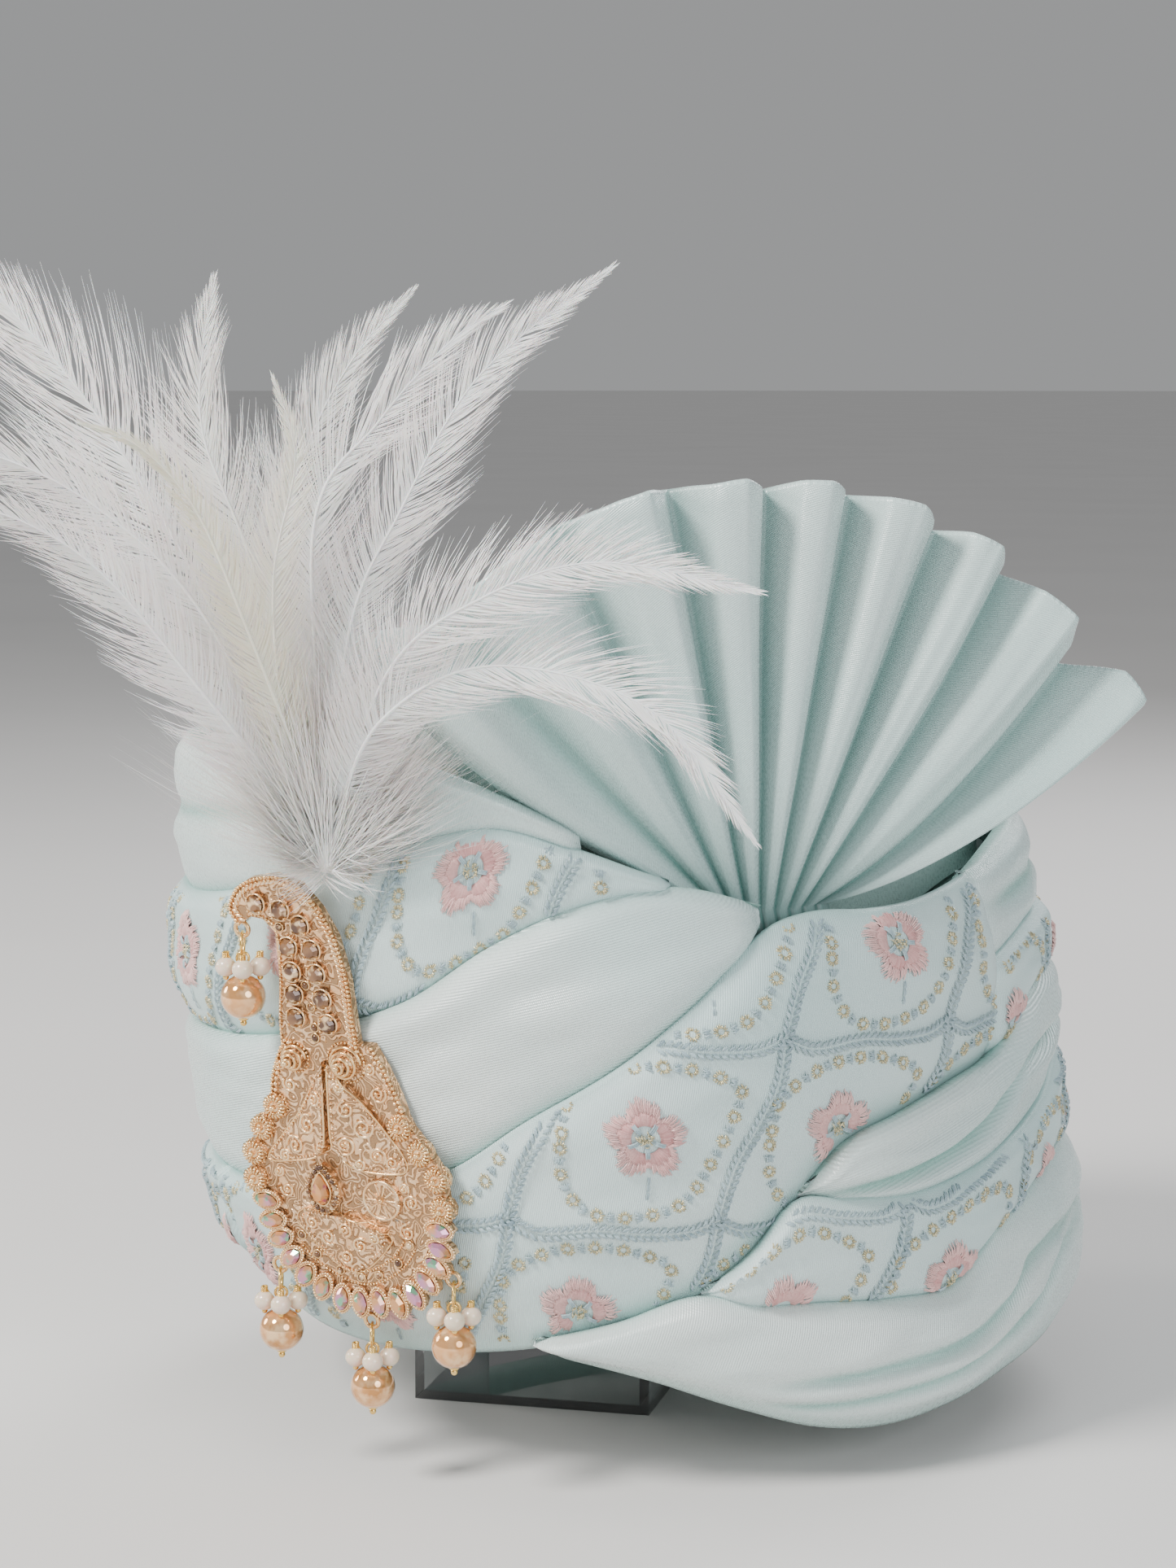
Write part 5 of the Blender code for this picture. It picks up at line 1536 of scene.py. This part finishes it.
def hook_ornament(work):
    """Rope of beads on the hook's outer edge, with slanted leaves beside it."""
    outer = curve_points(flat(HOOK_OUTLINE[:11]), 160)
    rope = shrunk(outer, 0.00075)
    work.bead_row(work.bright, rope, *ROPE_BEADS)
    leaves = shrunk(outer, 0.0022)
    for spot, along in spaced_points(leaves, HOOK_LEAVES[0]):
        side = Vector((-along.y, along.x))
        lean = (along * 0.75 + side * 0.65).normalized()
        across = Vector((-lean.y, lean.x))
        frame = work.frame @ Matrix(((lean.x, across.x, 0), (lean.y, across.y, 0), (0, 0, 1)))
        add_ball(work.matte, work.point(spot.x, spot.y, 0.0001), HOOK_LEAVES[1], frame, 8, 5)
    inner = curve_points(flat(HOOK_OUTLINE[11:]), 60)
    work.bead_row(work.bright, shrunk(inner, 0.0006), *HOOK_BEADS)


def body_ornament(work):
    """Beaded edges, scrolls, and the wire rims and beaded veins of the three leaves."""
    for first, last in ((0, 4), (19, 24)):
        edge = curve_points(flat(BODY_OUTLINE[first:last]), 40)
        work.bead_row(work.bright, shrunk(edge, -0.0009), *EDGE_BEADS)
        work.bead_row(work.matte, shrunk(edge, -0.0021), *WIDE_BEADS)
    for x, y, radius, first, hand in SCROLLS:
        line = []
        for k in range(SCROLL_POINTS):
            share = k / (SCROLL_POINTS - 1)
            angle = math.radians(first) + hand * share * SCROLL_WINDING * math.pi
            reach = radius * BROOCH_REACH * (1 - 0.86 * share)
            line.append(Vector((x * BROOCH_REACH + reach * math.cos(angle),
                                y * BROOCH_REACH + reach * math.sin(angle))))
        work.wire(work.matte, line, SCROLL_WIRE, 0.0001)
        work.bead(work.bright, line[-1].x, line[-1].y, 0.00060, 0.1)
    for leaf in (LEAF_LEFT, LEAF_RIGHT, LEAF_LOWER):
        rim = flat(leaf)
        middle = sum(rim, Vector((0, 0))) / len(rim)
        line = [middle + (p - middle) * 0.95 for p in rim]
        line = curve_points(line, 90, closed=True)
        line.append(line[0])
        work.wire(work.bright, line, LEAF_WIRE)
        vein = [middle + (p - middle) * 0.84 for p in rim]
        vein = curve_points(vein, 90, closed=True)
        vein.append(vein[0])
        work.bead_row(work.matte, vein, *VEIN_BEADS, 0.1)


def rosette_ornament(work):
    for row in ROSETTES:
        x, y = scaled(row)
        for k in range(ROSETTE_RIBS):
            angle = math.tau * k / ROSETTE_RIBS
            spoke = Vector((math.cos(angle), math.sin(angle)))
            line = [Vector((x, y)) + spoke * (ROSETTE_RADIUS * (0.36 + 0.56 * j / 4)) for j in range(5)]
            points = []
            for j, spot in enumerate(line):
                dome = 0.0011 * math.sin(math.pi * (0.15 + 0.75 * j / 4))
                points.append(work.matrix @ Vector((spot.x, spot.y, PLATE_THICKNESS * 1.35 + dome)))
            add_tube(work.bright, points, RIB_RADII, 5)
        base = work.matrix @ Vector((x, y, PLATE_THICKNESS * 1.35 - 0.0002))
        add_ball(work.matte, base, (0.90 * ROSETTE_RADIUS, 0.90 * ROSETTE_RADIUS, 0.0010),
                 work.frame, 20, 8)
        work.bead_row(work.bright, flat_circle(x, y, 0.94 * ROSETTE_RADIUS, 40), *ROSETTE_BEADS)
        top = work.matrix @ Vector((x, y, PLATE_THICKNESS + 0.0024))
        add_ball(work.bright, top, 0.00085, work.frame, 10, 6)
    for row in CONES:
        x, y = scaled(row)
        wide = row[2] * BROOCH_REACH
        line = []
        for k in range(CONE_POINTS):
            share = k / (CONE_POINTS - 1)
            angle = math.tau * CONE_WINDING * share
            reach = wide * (0.96 - 0.80 * share)
            rise = PLATE_THICKNESS + 0.0008 + CONE_RISE * share
            line.append(work.matrix @ Vector((x + reach * math.cos(angle),
                                              y + reach * math.sin(angle), rise)))
        add_tube(work.bright, line, CONE_WIRE, 6)
        tip = work.matrix @ Vector((x, y, PLATE_THICKNESS + 0.0010 + CONE_RISE))
        add_ball(work.bright, tip, 0.0009, work.frame, 10, 6)
        work.bead_row(work.bright, flat_circle(x, y, 1.12 * wide, 40), *CONE_BEADS)


def stone_ornament(work):
    """Milgrain round the settings, claws, the wheel and the small brown stones."""
    for row in MARQUISES:
        x, y = scaled(row)
        line = almond_line(x, y, 1.24 * MARQUISE_LENGTH, 1.30 * MARQUISE_WIDTH, row[2])
        for spot, along in spaced_points(line, MILGRAIN[0]):
            place = work.matrix @ Vector((spot.x, spot.y, SETTING_HEIGHT + 0.0001))
            add_ball(work.matte, place, MILGRAIN[1], work.frame, 7, 4)
        inner = almond_line(x, y, 1.05 * MARQUISE_LENGTH, 1.07 * MARQUISE_WIDTH, row[2])
        rim = [work.matrix @ Vector((spot.x, spot.y, SETTING_HEIGHT + 0.0003)) for spot in inner[:-1]]
        add_tube(work.bright, rim, RIM_WIRE, 6, closed=True)
    for row in ROUND_STONES:
        x, y = scaled(row)
        rim = [work.matrix @ Vector((p.x, p.y, SETTING_HEIGHT + 0.0002))
               for p in flat_circle(x, y, 1.10 * ROUND_STONE_RADIUS, 24)[:-1]]
        add_tube(work.matte, rim, LEAF_WIRE, 6, closed=True)
        for k in range(4):
            angle = math.tau * (k + 0.5) / 4
            place = Vector((x + 1.02 * ROUND_STONE_RADIUS * math.cos(angle),
                            y + 1.02 * ROUND_STONE_RADIUS * math.sin(angle), SETTING_HEIGHT + 0.0010))
            add_ball(work.bright, work.matrix @ place, CLAW, work.frame, 7, 5)
    x, y = scaled(TEARDROP)
    halo = teardrop_line(x, y, 1.80 * TEARDROP_SIZE[0], 1.46 * TEARDROP_SIZE[1])
    for spot, along in spaced_points(halo, HALO_STONES[0]):
        place = work.matrix @ Vector((spot.x, spot.y, SETTING_HEIGHT + 0.0013))
        add_ball(work.stones, place, HALO_STONES[1], work.frame, 8, 5)
    for spot, along in spaced_points(halo, HALO_BEADS[0]):
        outward = (spot - Vector((x, y))).normalized() * 0.00075
        place = work.matrix @ Vector((spot.x + outward.x, spot.y + outward.y, SETTING_HEIGHT + 0.0012))
        add_ball(work.bright, place, HALO_BEADS[1], work.frame, 6, 4)
    rim = teardrop_line(x, y, 1.14 * TEARDROP_SIZE[0], 1.10 * TEARDROP_SIZE[1])
    add_tube(work.bright, [work.matrix @ Vector((p.x, p.y, SETTING_HEIGHT + 0.0016)) for p in rim[:-1]],
             0.00030, 6, closed=True)
    for row in SMALL_STONES:
        x, y = scaled(row)
        base = work.point(x, y, 0.0)
        up = work.frame @ UP
        add_ball(work.stones, base + up * 0.0004, SMALL_STONE, work.frame, 8, 5)
        ring = [base + up * 0.0003 + work.frame @ Vector((p.x, p.y, 0))
                for p in flat_circle(0, 0, 0.00120, 14)[:-1]]
        add_tube(work.bright, ring, RIM_WIRE, 5, closed=True)
    arc = curve_points(flat(SMALL_STONES[5:]), 60)
    work.bead_row(work.bright, shrunk(arc, 0.0019), *ARC_BEADS)
    work.bead_row(work.bright, shrunk(arc, -0.0019), *ARC_BEADS)
    wheel_x, wheel_y, wheel_radius = (value * BROOCH_REACH for value in WHEEL)
    work.wire(work.matte, flat_circle(wheel_x, wheel_y, 0.88 * wheel_radius, 30), WHEEL_WIRES[0])
    for k in range(WHEEL_SPOKES):
        angle = math.tau * k / WHEEL_SPOKES
        line = [Vector((wheel_x, wheel_y)) + Vector((math.cos(angle), math.sin(angle)))
                * (wheel_radius * (0.12 + 0.72 * j / 4)) for j in range(5)]
        work.wire(work.matte, line, WHEEL_WIRES[1])
    work.bead(work.bright, wheel_x, wheel_y, 0.00075)


def eyelet_rings(work):
    for row in EYELETS:
        centre = work.matrix @ Vector((*scaled(row), 0.5 * PLATE_THICKNESS))
        line = circle_line(centre, EYELET_RADIUS, work.frame @ Vector((1, 0, 0)),
                           work.frame @ Vector((0, 1, 0)), 28)
        add_tube(work.bright, line, EYELET_WIRE * 1.10, 8, closed=True)


# Drops

def drops(work, metal_batch, glass, pearls):
    """Jump rings, foil glass balls with end caps, and three wired pearls on each."""
    place = work.matrix
    for number, row in enumerate(EYELETS):
        x, y = scaled(row)
        eye = place @ Vector((x, y, 0.5 * PLATE_THICKNESS))
        low = place @ Vector((x, y - EYELET_RADIUS, 0.5 * PLATE_THICKNESS))
        side = (place.to_3x3() @ Vector((0.5, 0, 1))).normalized()
        side = (side - UP * side.z).normalized()
        other = side.cross(UP)
        top = low.z + EYELET_WIRE + RING_WIRE + LINK_GAP
        rest = Vector((0.5 * (eye.x + low.x), 0.5 * (eye.y + low.y), top))
        ring_middle = rest - UP * RING_RADIUS
        add_tube(metal_batch, circle_line(ring_middle, RING_RADIUS, side, UP, 32), RING_WIRE, 8,
                 closed=True)
        loop_middle = ring_middle - UP * (RING_RADIUS - 2 * RING_WIRE - LINK_GAP + LOOP_RADIUS)
        neck_top = loop_middle - UP * LOOP_RADIUS
        ball_middle = neck_top - UP * (NECK_LENGTH + 0.97 * BALL_RADIUS)
        tip = ball_middle - UP * (BALL_RADIUS + 0.0016)
        add_ball(glass[number], ball_middle, BALL_RADIUS, None, 32, 20)
        add_tube(metal_batch, circle_line(loop_middle, LOOP_RADIUS, other, UP, 22), LOOP_WIRE, 7,
                 closed=True)
        add_tube(metal_batch, [neck_top, neck_top - UP * NECK_LENGTH], NECK_RADIUS, 8)
        coil = []
        for k in range(56):
            angle = math.tau * k / 14
            centre = neck_top - UP * (0.0004 + NECK_LENGTH * 0.8 * k / 55)
            coil.append(centre + (side * math.cos(angle) + other * math.sin(angle)) * 0.00095)
        add_tube(metal_batch, coil, COIL_WIRE, 5)
        cap = ball_middle + UP * (0.93 * BALL_RADIUS)
        add_ball(metal_batch, cap, (0.0021, 0.0021, 0.0008), None, 14, 6)
        cap = ball_middle - UP * (0.97 * BALL_RADIUS)
        add_ball(metal_batch, cap, (0.0015, 0.0015, 0.0007), None, 12, 6)
        add_ball(metal_batch, tip + UP * 0.0006, 0.00095, None, 10, 6)
        wire_pearls(neck_top, side, other, metal_batch, pearls[number])


def wire_pearls(neck_top, side, other, metal_batch, pearls):
    """Three pearls on bent wires round the neck of a drop."""
    hub = neck_top - UP * (0.45 * NECK_LENGTH)
    hub_radius = NECK_RADIUS + LINK_GAP + HUB_WIRE
    add_tube(metal_batch, circle_line(hub, hub_radius, side, other, 18), HUB_WIRE, 6, closed=True)
    for degrees in PEARL_TURNS:
        angle = math.radians(degrees)
        spoke = side * math.cos(angle) + other * math.sin(angle)
        middle = hub + spoke * PEARL_REACH + UP * PEARL_RISE
        add_ball(pearls, middle, (PEARL_RADIUS, PEARL_RADIUS, 0.94 * PEARL_RADIUS), None, 22, 14)
        top = middle + UP * (0.90 * PEARL_RADIUS)
        arm = [hub + spoke * hub_radius, hub + spoke * 0.0030 + UP * 0.0022,
               top + UP * 0.0013, top - UP * 0.0002]
        add_tube(metal_batch, curve_points(arm, 12), 0.00033, 6)
        coil = []
        for k in range(44):
            turn = math.tau * k / 11
            centre = top + UP * (0.0017 * k / 43 - 0.0002)
            coil.append(centre + (side * math.cos(turn) + other * math.sin(turn)) * 0.00075)
        add_tube(metal_batch, coil, COIL_WIRE, 5)
        add_ball(metal_batch, middle - UP * (0.98 * PEARL_RADIUS), 0.00085, None, 10, 6)


# Plume

def add_barb(batch, root, first, last, width, face, tone):
    """Slim flat barb of three spans, bent from its first to its last direction."""
    points = []
    place = root
    reach = [first.lerp(last, share) for share in (0.17, 0.5, 0.83)]
    for k in range(4):
        along = reach[min(k, 2)].normalized()
        side = face.cross(along).normalized() * (0.5 * width * (1.0, 0.9, 0.62, 0.12)[k])
        points += [place - side, place + side]
        if k < 3:
            place = place + reach[k] / 3
    batch.add(points, [(0, 1, 3, 2), (2, 3, 5, 4), (4, 5, 7, 6)], tone)


def feather(batch, shaft, head, root, rows, half_width, forward, tone, chance):
    """Curved shaft with two vanes of barbs that thin out towards the edges."""
    across, _, out = facing_axes(PLUME_FACING)
    origin = surface_point(FEATHER_TURN, FEATHER_LEVEL, FEATHER_STANDOFF)
    line = [head + root]
    for side, up in rows:
        away = math.hypot(side, up)
        line.append(origin + (across * side + UP * up + out * (forward * away)) * PLUME_LENGTH)
    line = curve_points(line, SHAFT_SPANS)
    length = sum((b - a).length for a, b in zip(line, line[1:]))
    radii = [SHAFT_RADIUS * (1 - 0.85 * k / SHAFT_SPANS) for k in range(SHAFT_SPANS + 1)]
    add_tube(shaft, line, radii, 6, tone=tone)
    clump = 0.0
    run = 0.0
    for spot, along in spaced_points(line, BARB_PITCH):
        run += BARB_PITCH
        share = run / length
        face_turn = 0.35 * math.sin(5 * share + 3 * forward)
        aside = along.cross(out).normalized()
        face = (aside.cross(along) + aside * face_turn).normalized()
        if chance.random() < 0.07:
            clump = chance.uniform(-0.22, 0.22)
        wide = half_width * PLUME_LENGTH
        wide *= 0.36 + 0.64 * math.sin(math.pi * min(1.0, share * 1.02) ** 0.75)
        wide *= 1 - 0.75 * share ** 5
        for hand in (-1, 1):
            if chance.random() < 0.10 + 0.30 * share:
                continue
            reach = wide * chance.uniform(0.58, 1.20)
            slant = math.radians(13 + 19 * (1 - share ** 3)) + clump * hand * 0.45
            slant += chance.uniform(-0.08, 0.08)
            drift = face * chance.uniform(-0.12, 0.12)
            opened = slant + 0.30 * (1 - share)
            closed = slant - 0.16
            first = along * math.cos(opened) + aside * (hand * math.sin(opened)) + drift
            last = along * math.cos(closed) + aside * (hand * math.sin(closed)) + 2 * drift
            size = reach / math.sin(max(slant, 0.2))
            size = min(size, 2.5 * wide)
            add_barb(batch, spot, first * size, last * size, BARB_WIDTH, face,
                     min(1.0, tone + chance.uniform(0, 0.15)))


def fluff(batch, head, chance):
    """Downy tuft at the foot of the plume, with loose strands on both sides."""
    across, _, out = facing_axes(PLUME_FACING)
    for k in range(DOWN_STRANDS):
        loose = k % 7 == 0
        angle = chance.uniform(-1.5, 1.5) if loose else chance.gauss(0, 0.80)
        angle = max(-1.6, min(1.6, angle))
        short = k % 4 == 1
        if short:
            angle = chance.uniform(-2.5, 2.5)
        lean = chance.uniform(-0.2, 0.85)
        up = math.cos(angle)
        direction = (UP * up + across * math.sin(angle) + out * lean * 0.7).normalized()
        size = chance.uniform(0.028, 0.066) if loose else chance.uniform(0.014, 0.046)
        size = chance.uniform(0.006, 0.014) if short else size * (0.86 + 0.14 * up)
        place = head + Vector((chance.uniform(-0.5, 0.5) * PLUME_HEAD[0],
                               chance.uniform(-0.5, 0.5) * PLUME_HEAD[1],
                               chance.uniform(-0.75, 0.9) * PLUME_HEAD[2]))
        place += direction * 0.003
        bend = UP * 0.45 + across * chance.uniform(-0.35, 0.35) + out * chance.uniform(-0.2, 0.3)
        face = direction.cross(across.lerp(out, chance.random())).normalized()
        width = LOOSE_WIDTH if loose else DOWN_WIDTH
        add_barb(batch, place, direction * size, (direction + bend).normalized() * size, width, face,
                 chance.uniform(0, 0.35))


def plume(finish):
    """All feathers and the down at their foot; the vanes come first."""
    chance = random.Random(11)
    head = surface_point(PLUME_TURN, PLUME_LEVEL, PLUME_HEAD[0] + PLUME_STANDOFF)
    vane = Batch()
    shaft = Batch()
    middle = 0.5 * (len(FEATHERS) - 1)
    for number, (rows, half_width, forward, tone) in enumerate(FEATHERS):
        spread = (number - middle) / middle
        root = Vector((0.0018 * spread, 0.0014 * math.sin(2.4 * number), 0.0015 + 0.0002 * number))
        feather(vane, shaft, head, root, rows, half_width, forward, tone, chance)
    down = Batch()
    fluff(down, head, chance)
    add_ball(shaft, head, tuple(0.72 * size for size in PLUME_HEAD), None, 18, 12, 0.2)
    return [new_piece("feather_" + label, batch, finish)
            for label, batch in (("vanes", vane), ("shafts", shaft), ("down", down))]


# Stage

def stage(finish):
    bpy.ops.mesh.primitive_circle_add(vertices=64, radius=30.0, fill_type="NGON", location=(0, 0, 0))
    floor = bpy.context.object
    floor.name = "floor"
    floor.data.materials.append(finish)


def area_light(name, place, target, size, power, colour):
    data = bpy.data.lights.new(name, "AREA")
    data.shape = "DISK"
    data.size = size
    data.energy = power
    data.color = colour
    made = bpy.data.objects.new(name, data)
    made.location = place
    made.rotation_euler = (Vector(target) - Vector(place)).to_track_quat("-Z", "Y").to_euler()
    bpy.context.scene.collection.objects.link(made)


def lights():
    for row in LIGHTS:
        area_light(*row)
    world = bpy.data.worlds.new("studio")
    world.use_nodes = True
    back = world.node_tree.nodes["Background"]
    back.inputs["Color"].default_value = WORLD_COLOUR
    back.inputs["Strength"].default_value = WORLD_STRENGTH
    bpy.context.scene.world = world


def camera():
    azimuth = math.radians(CAMERA_AZIMUTH)
    pitch = math.radians(CAMERA_PITCH)
    forward = Vector((-math.sin(azimuth) * math.cos(pitch), math.cos(azimuth) * math.cos(pitch),
                      -math.sin(pitch)))
    right = Vector((math.cos(azimuth), math.sin(azimuth), 0))
    up = right.cross(forward)
    data = bpy.data.cameras.new("camera")
    data.lens = CAMERA_LENS
    data.sensor_width = 36
    data.clip_start = 0.02
    made = bpy.data.objects.new("camera", data)
    turned = Matrix((right, up, -forward)).transposed().to_4x4()
    made.matrix_world = Matrix.Translation(CAMERA_PLACE) @ turned
    bpy.context.scene.collection.objects.link(made)
    bpy.context.scene.camera = made


def set_finish(node, finish):
    """A kept solid gets its material here."""
    node.data.materials.clear()
    node.data.materials.append(finish)


def wind_wraps(looks):
    for name, wrap in WRAPS.items():
        finish, slot = WRAP_LOOKS[name]
        wrap_mesh("cloth_" + name, wrap, looks[finish])


def embroider(looks):
    for name, follow, turn, height, along, seed, rows in PATTERNS:
        pattern = Pattern(WRAPS[name + "_embroidered"], follow,
                          Vector((turn * TURN_LENGTH, height)), along, MOTIF_UP, seed)
        pattern.fill(rows)
        pattern.pieces("stitch_" + name, looks["blue_thread"], looks["glitter_thread"],
                       looks["rose_thread"])


def core_and_crown(looks):
    """Wound cloth inside, the gathered crown and the cloth over the head opening."""
    padding = looks["padding_cloth"]
    core = ring_grid("cloth_core", [core_section(turn) for turn in range(0, 360, 3)], padding,
                     lambda k, j: 0.15, 3 * TURN_LENGTH)
    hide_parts("wound_core")
    # The crown's foot, where it meets the rim, gets painted shade (tone 0.5); the rest a light tone
    # 0.1.
    crown = ring_grid("cloth_crown", [crown_section(turn) for turn in range(0, 360, 2)],
                      looks["satin"], lambda k, j: 0.5 if j < 3 else 0.1,
                      2 * TURN_LENGTH, False)
    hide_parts("crown_cap")
    ceiling = ring_grid("cloth_ceiling", [crown_ceiling(turn) for turn in range(0, 360, 3)], padding,
                        lambda k, j: 0.2, 3 * TURN_LENGTH, False)


def standing_cloth(looks):
    tissue(looks["tissue_weave"])
    pleats = fan(looks["fan_satin"])


def dress_brooch(nodes, looks):
    """Ornament on the cast plate, and the stones' materials."""
    plate = nodes["brooch_plate"]
    set_finish(plate, looks["cast_gold"])
    work = Brooch(plate)
    hook_ornament(work)
    body_ornament(work)
    rosette_ornament(work)
    stone_ornament(work)
    eyelet_rings(work)
    smoky = looks["smoky_glass"]
    new_piece("brooch_relief", work.matte, looks["relief_gold"])
    new_piece("brooch_beads", work.bright, looks["bright_gold"])
    new_piece("brooch_small_stones", work.stones, smoky)
    for number in range(1, len(ROUND_STONES) + 1):
        set_finish(nodes["round_stone_%02d" % number], smoky)
    for number in range(1, len(MARQUISES) + 1):
        set_finish(nodes["marquise_stone_%02d" % number], looks["flash_glass"])
    set_finish(nodes["teardrop_stone"], looks["amber_stone"])
    return work


def hang_drops(work, looks):
    """Wires, glass balls and pearls in place of the drops' solids."""
    count = len(EYELETS)
    fittings = Batch()
    glass = [Batch() for _ in range(count)]
    pearls = [Batch() for _ in range(count)]
    drops(work, fittings, glass, pearls)
    rings = new_piece("drop_wires", fittings, looks["wire_gold"])
    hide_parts(*["jump_ring_%d" % k for k in range(1, count + 1)])
    for number in range(1, count + 1):
        ball = new_piece("drop_ball_%d" % number, glass[number - 1], looks["foil_glass"])
        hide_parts("glass_drop_%d" % number)
        trio = new_piece("drop_pearls_%d" % number, pearls[number - 1], looks["pearl_shell"])
        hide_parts("pearl_cluster_%d" % number)


def build():
    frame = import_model()
    nodes = frame["nodes"]
    looks = all_finishes()

    stage(looks["floor_pale"])
    lights()
    camera()

    wind_wraps(looks)
    embroider(looks)
    core_and_crown(looks)
    standing_cloth(looks)
    work = dress_brooch(nodes, looks)
    hang_drops(work, looks)
    feathers = plume(looks["feather_white"])
    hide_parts("feather_plume")
    set_finish(nodes["riser_stand"], looks["acrylic_clear"])


build()
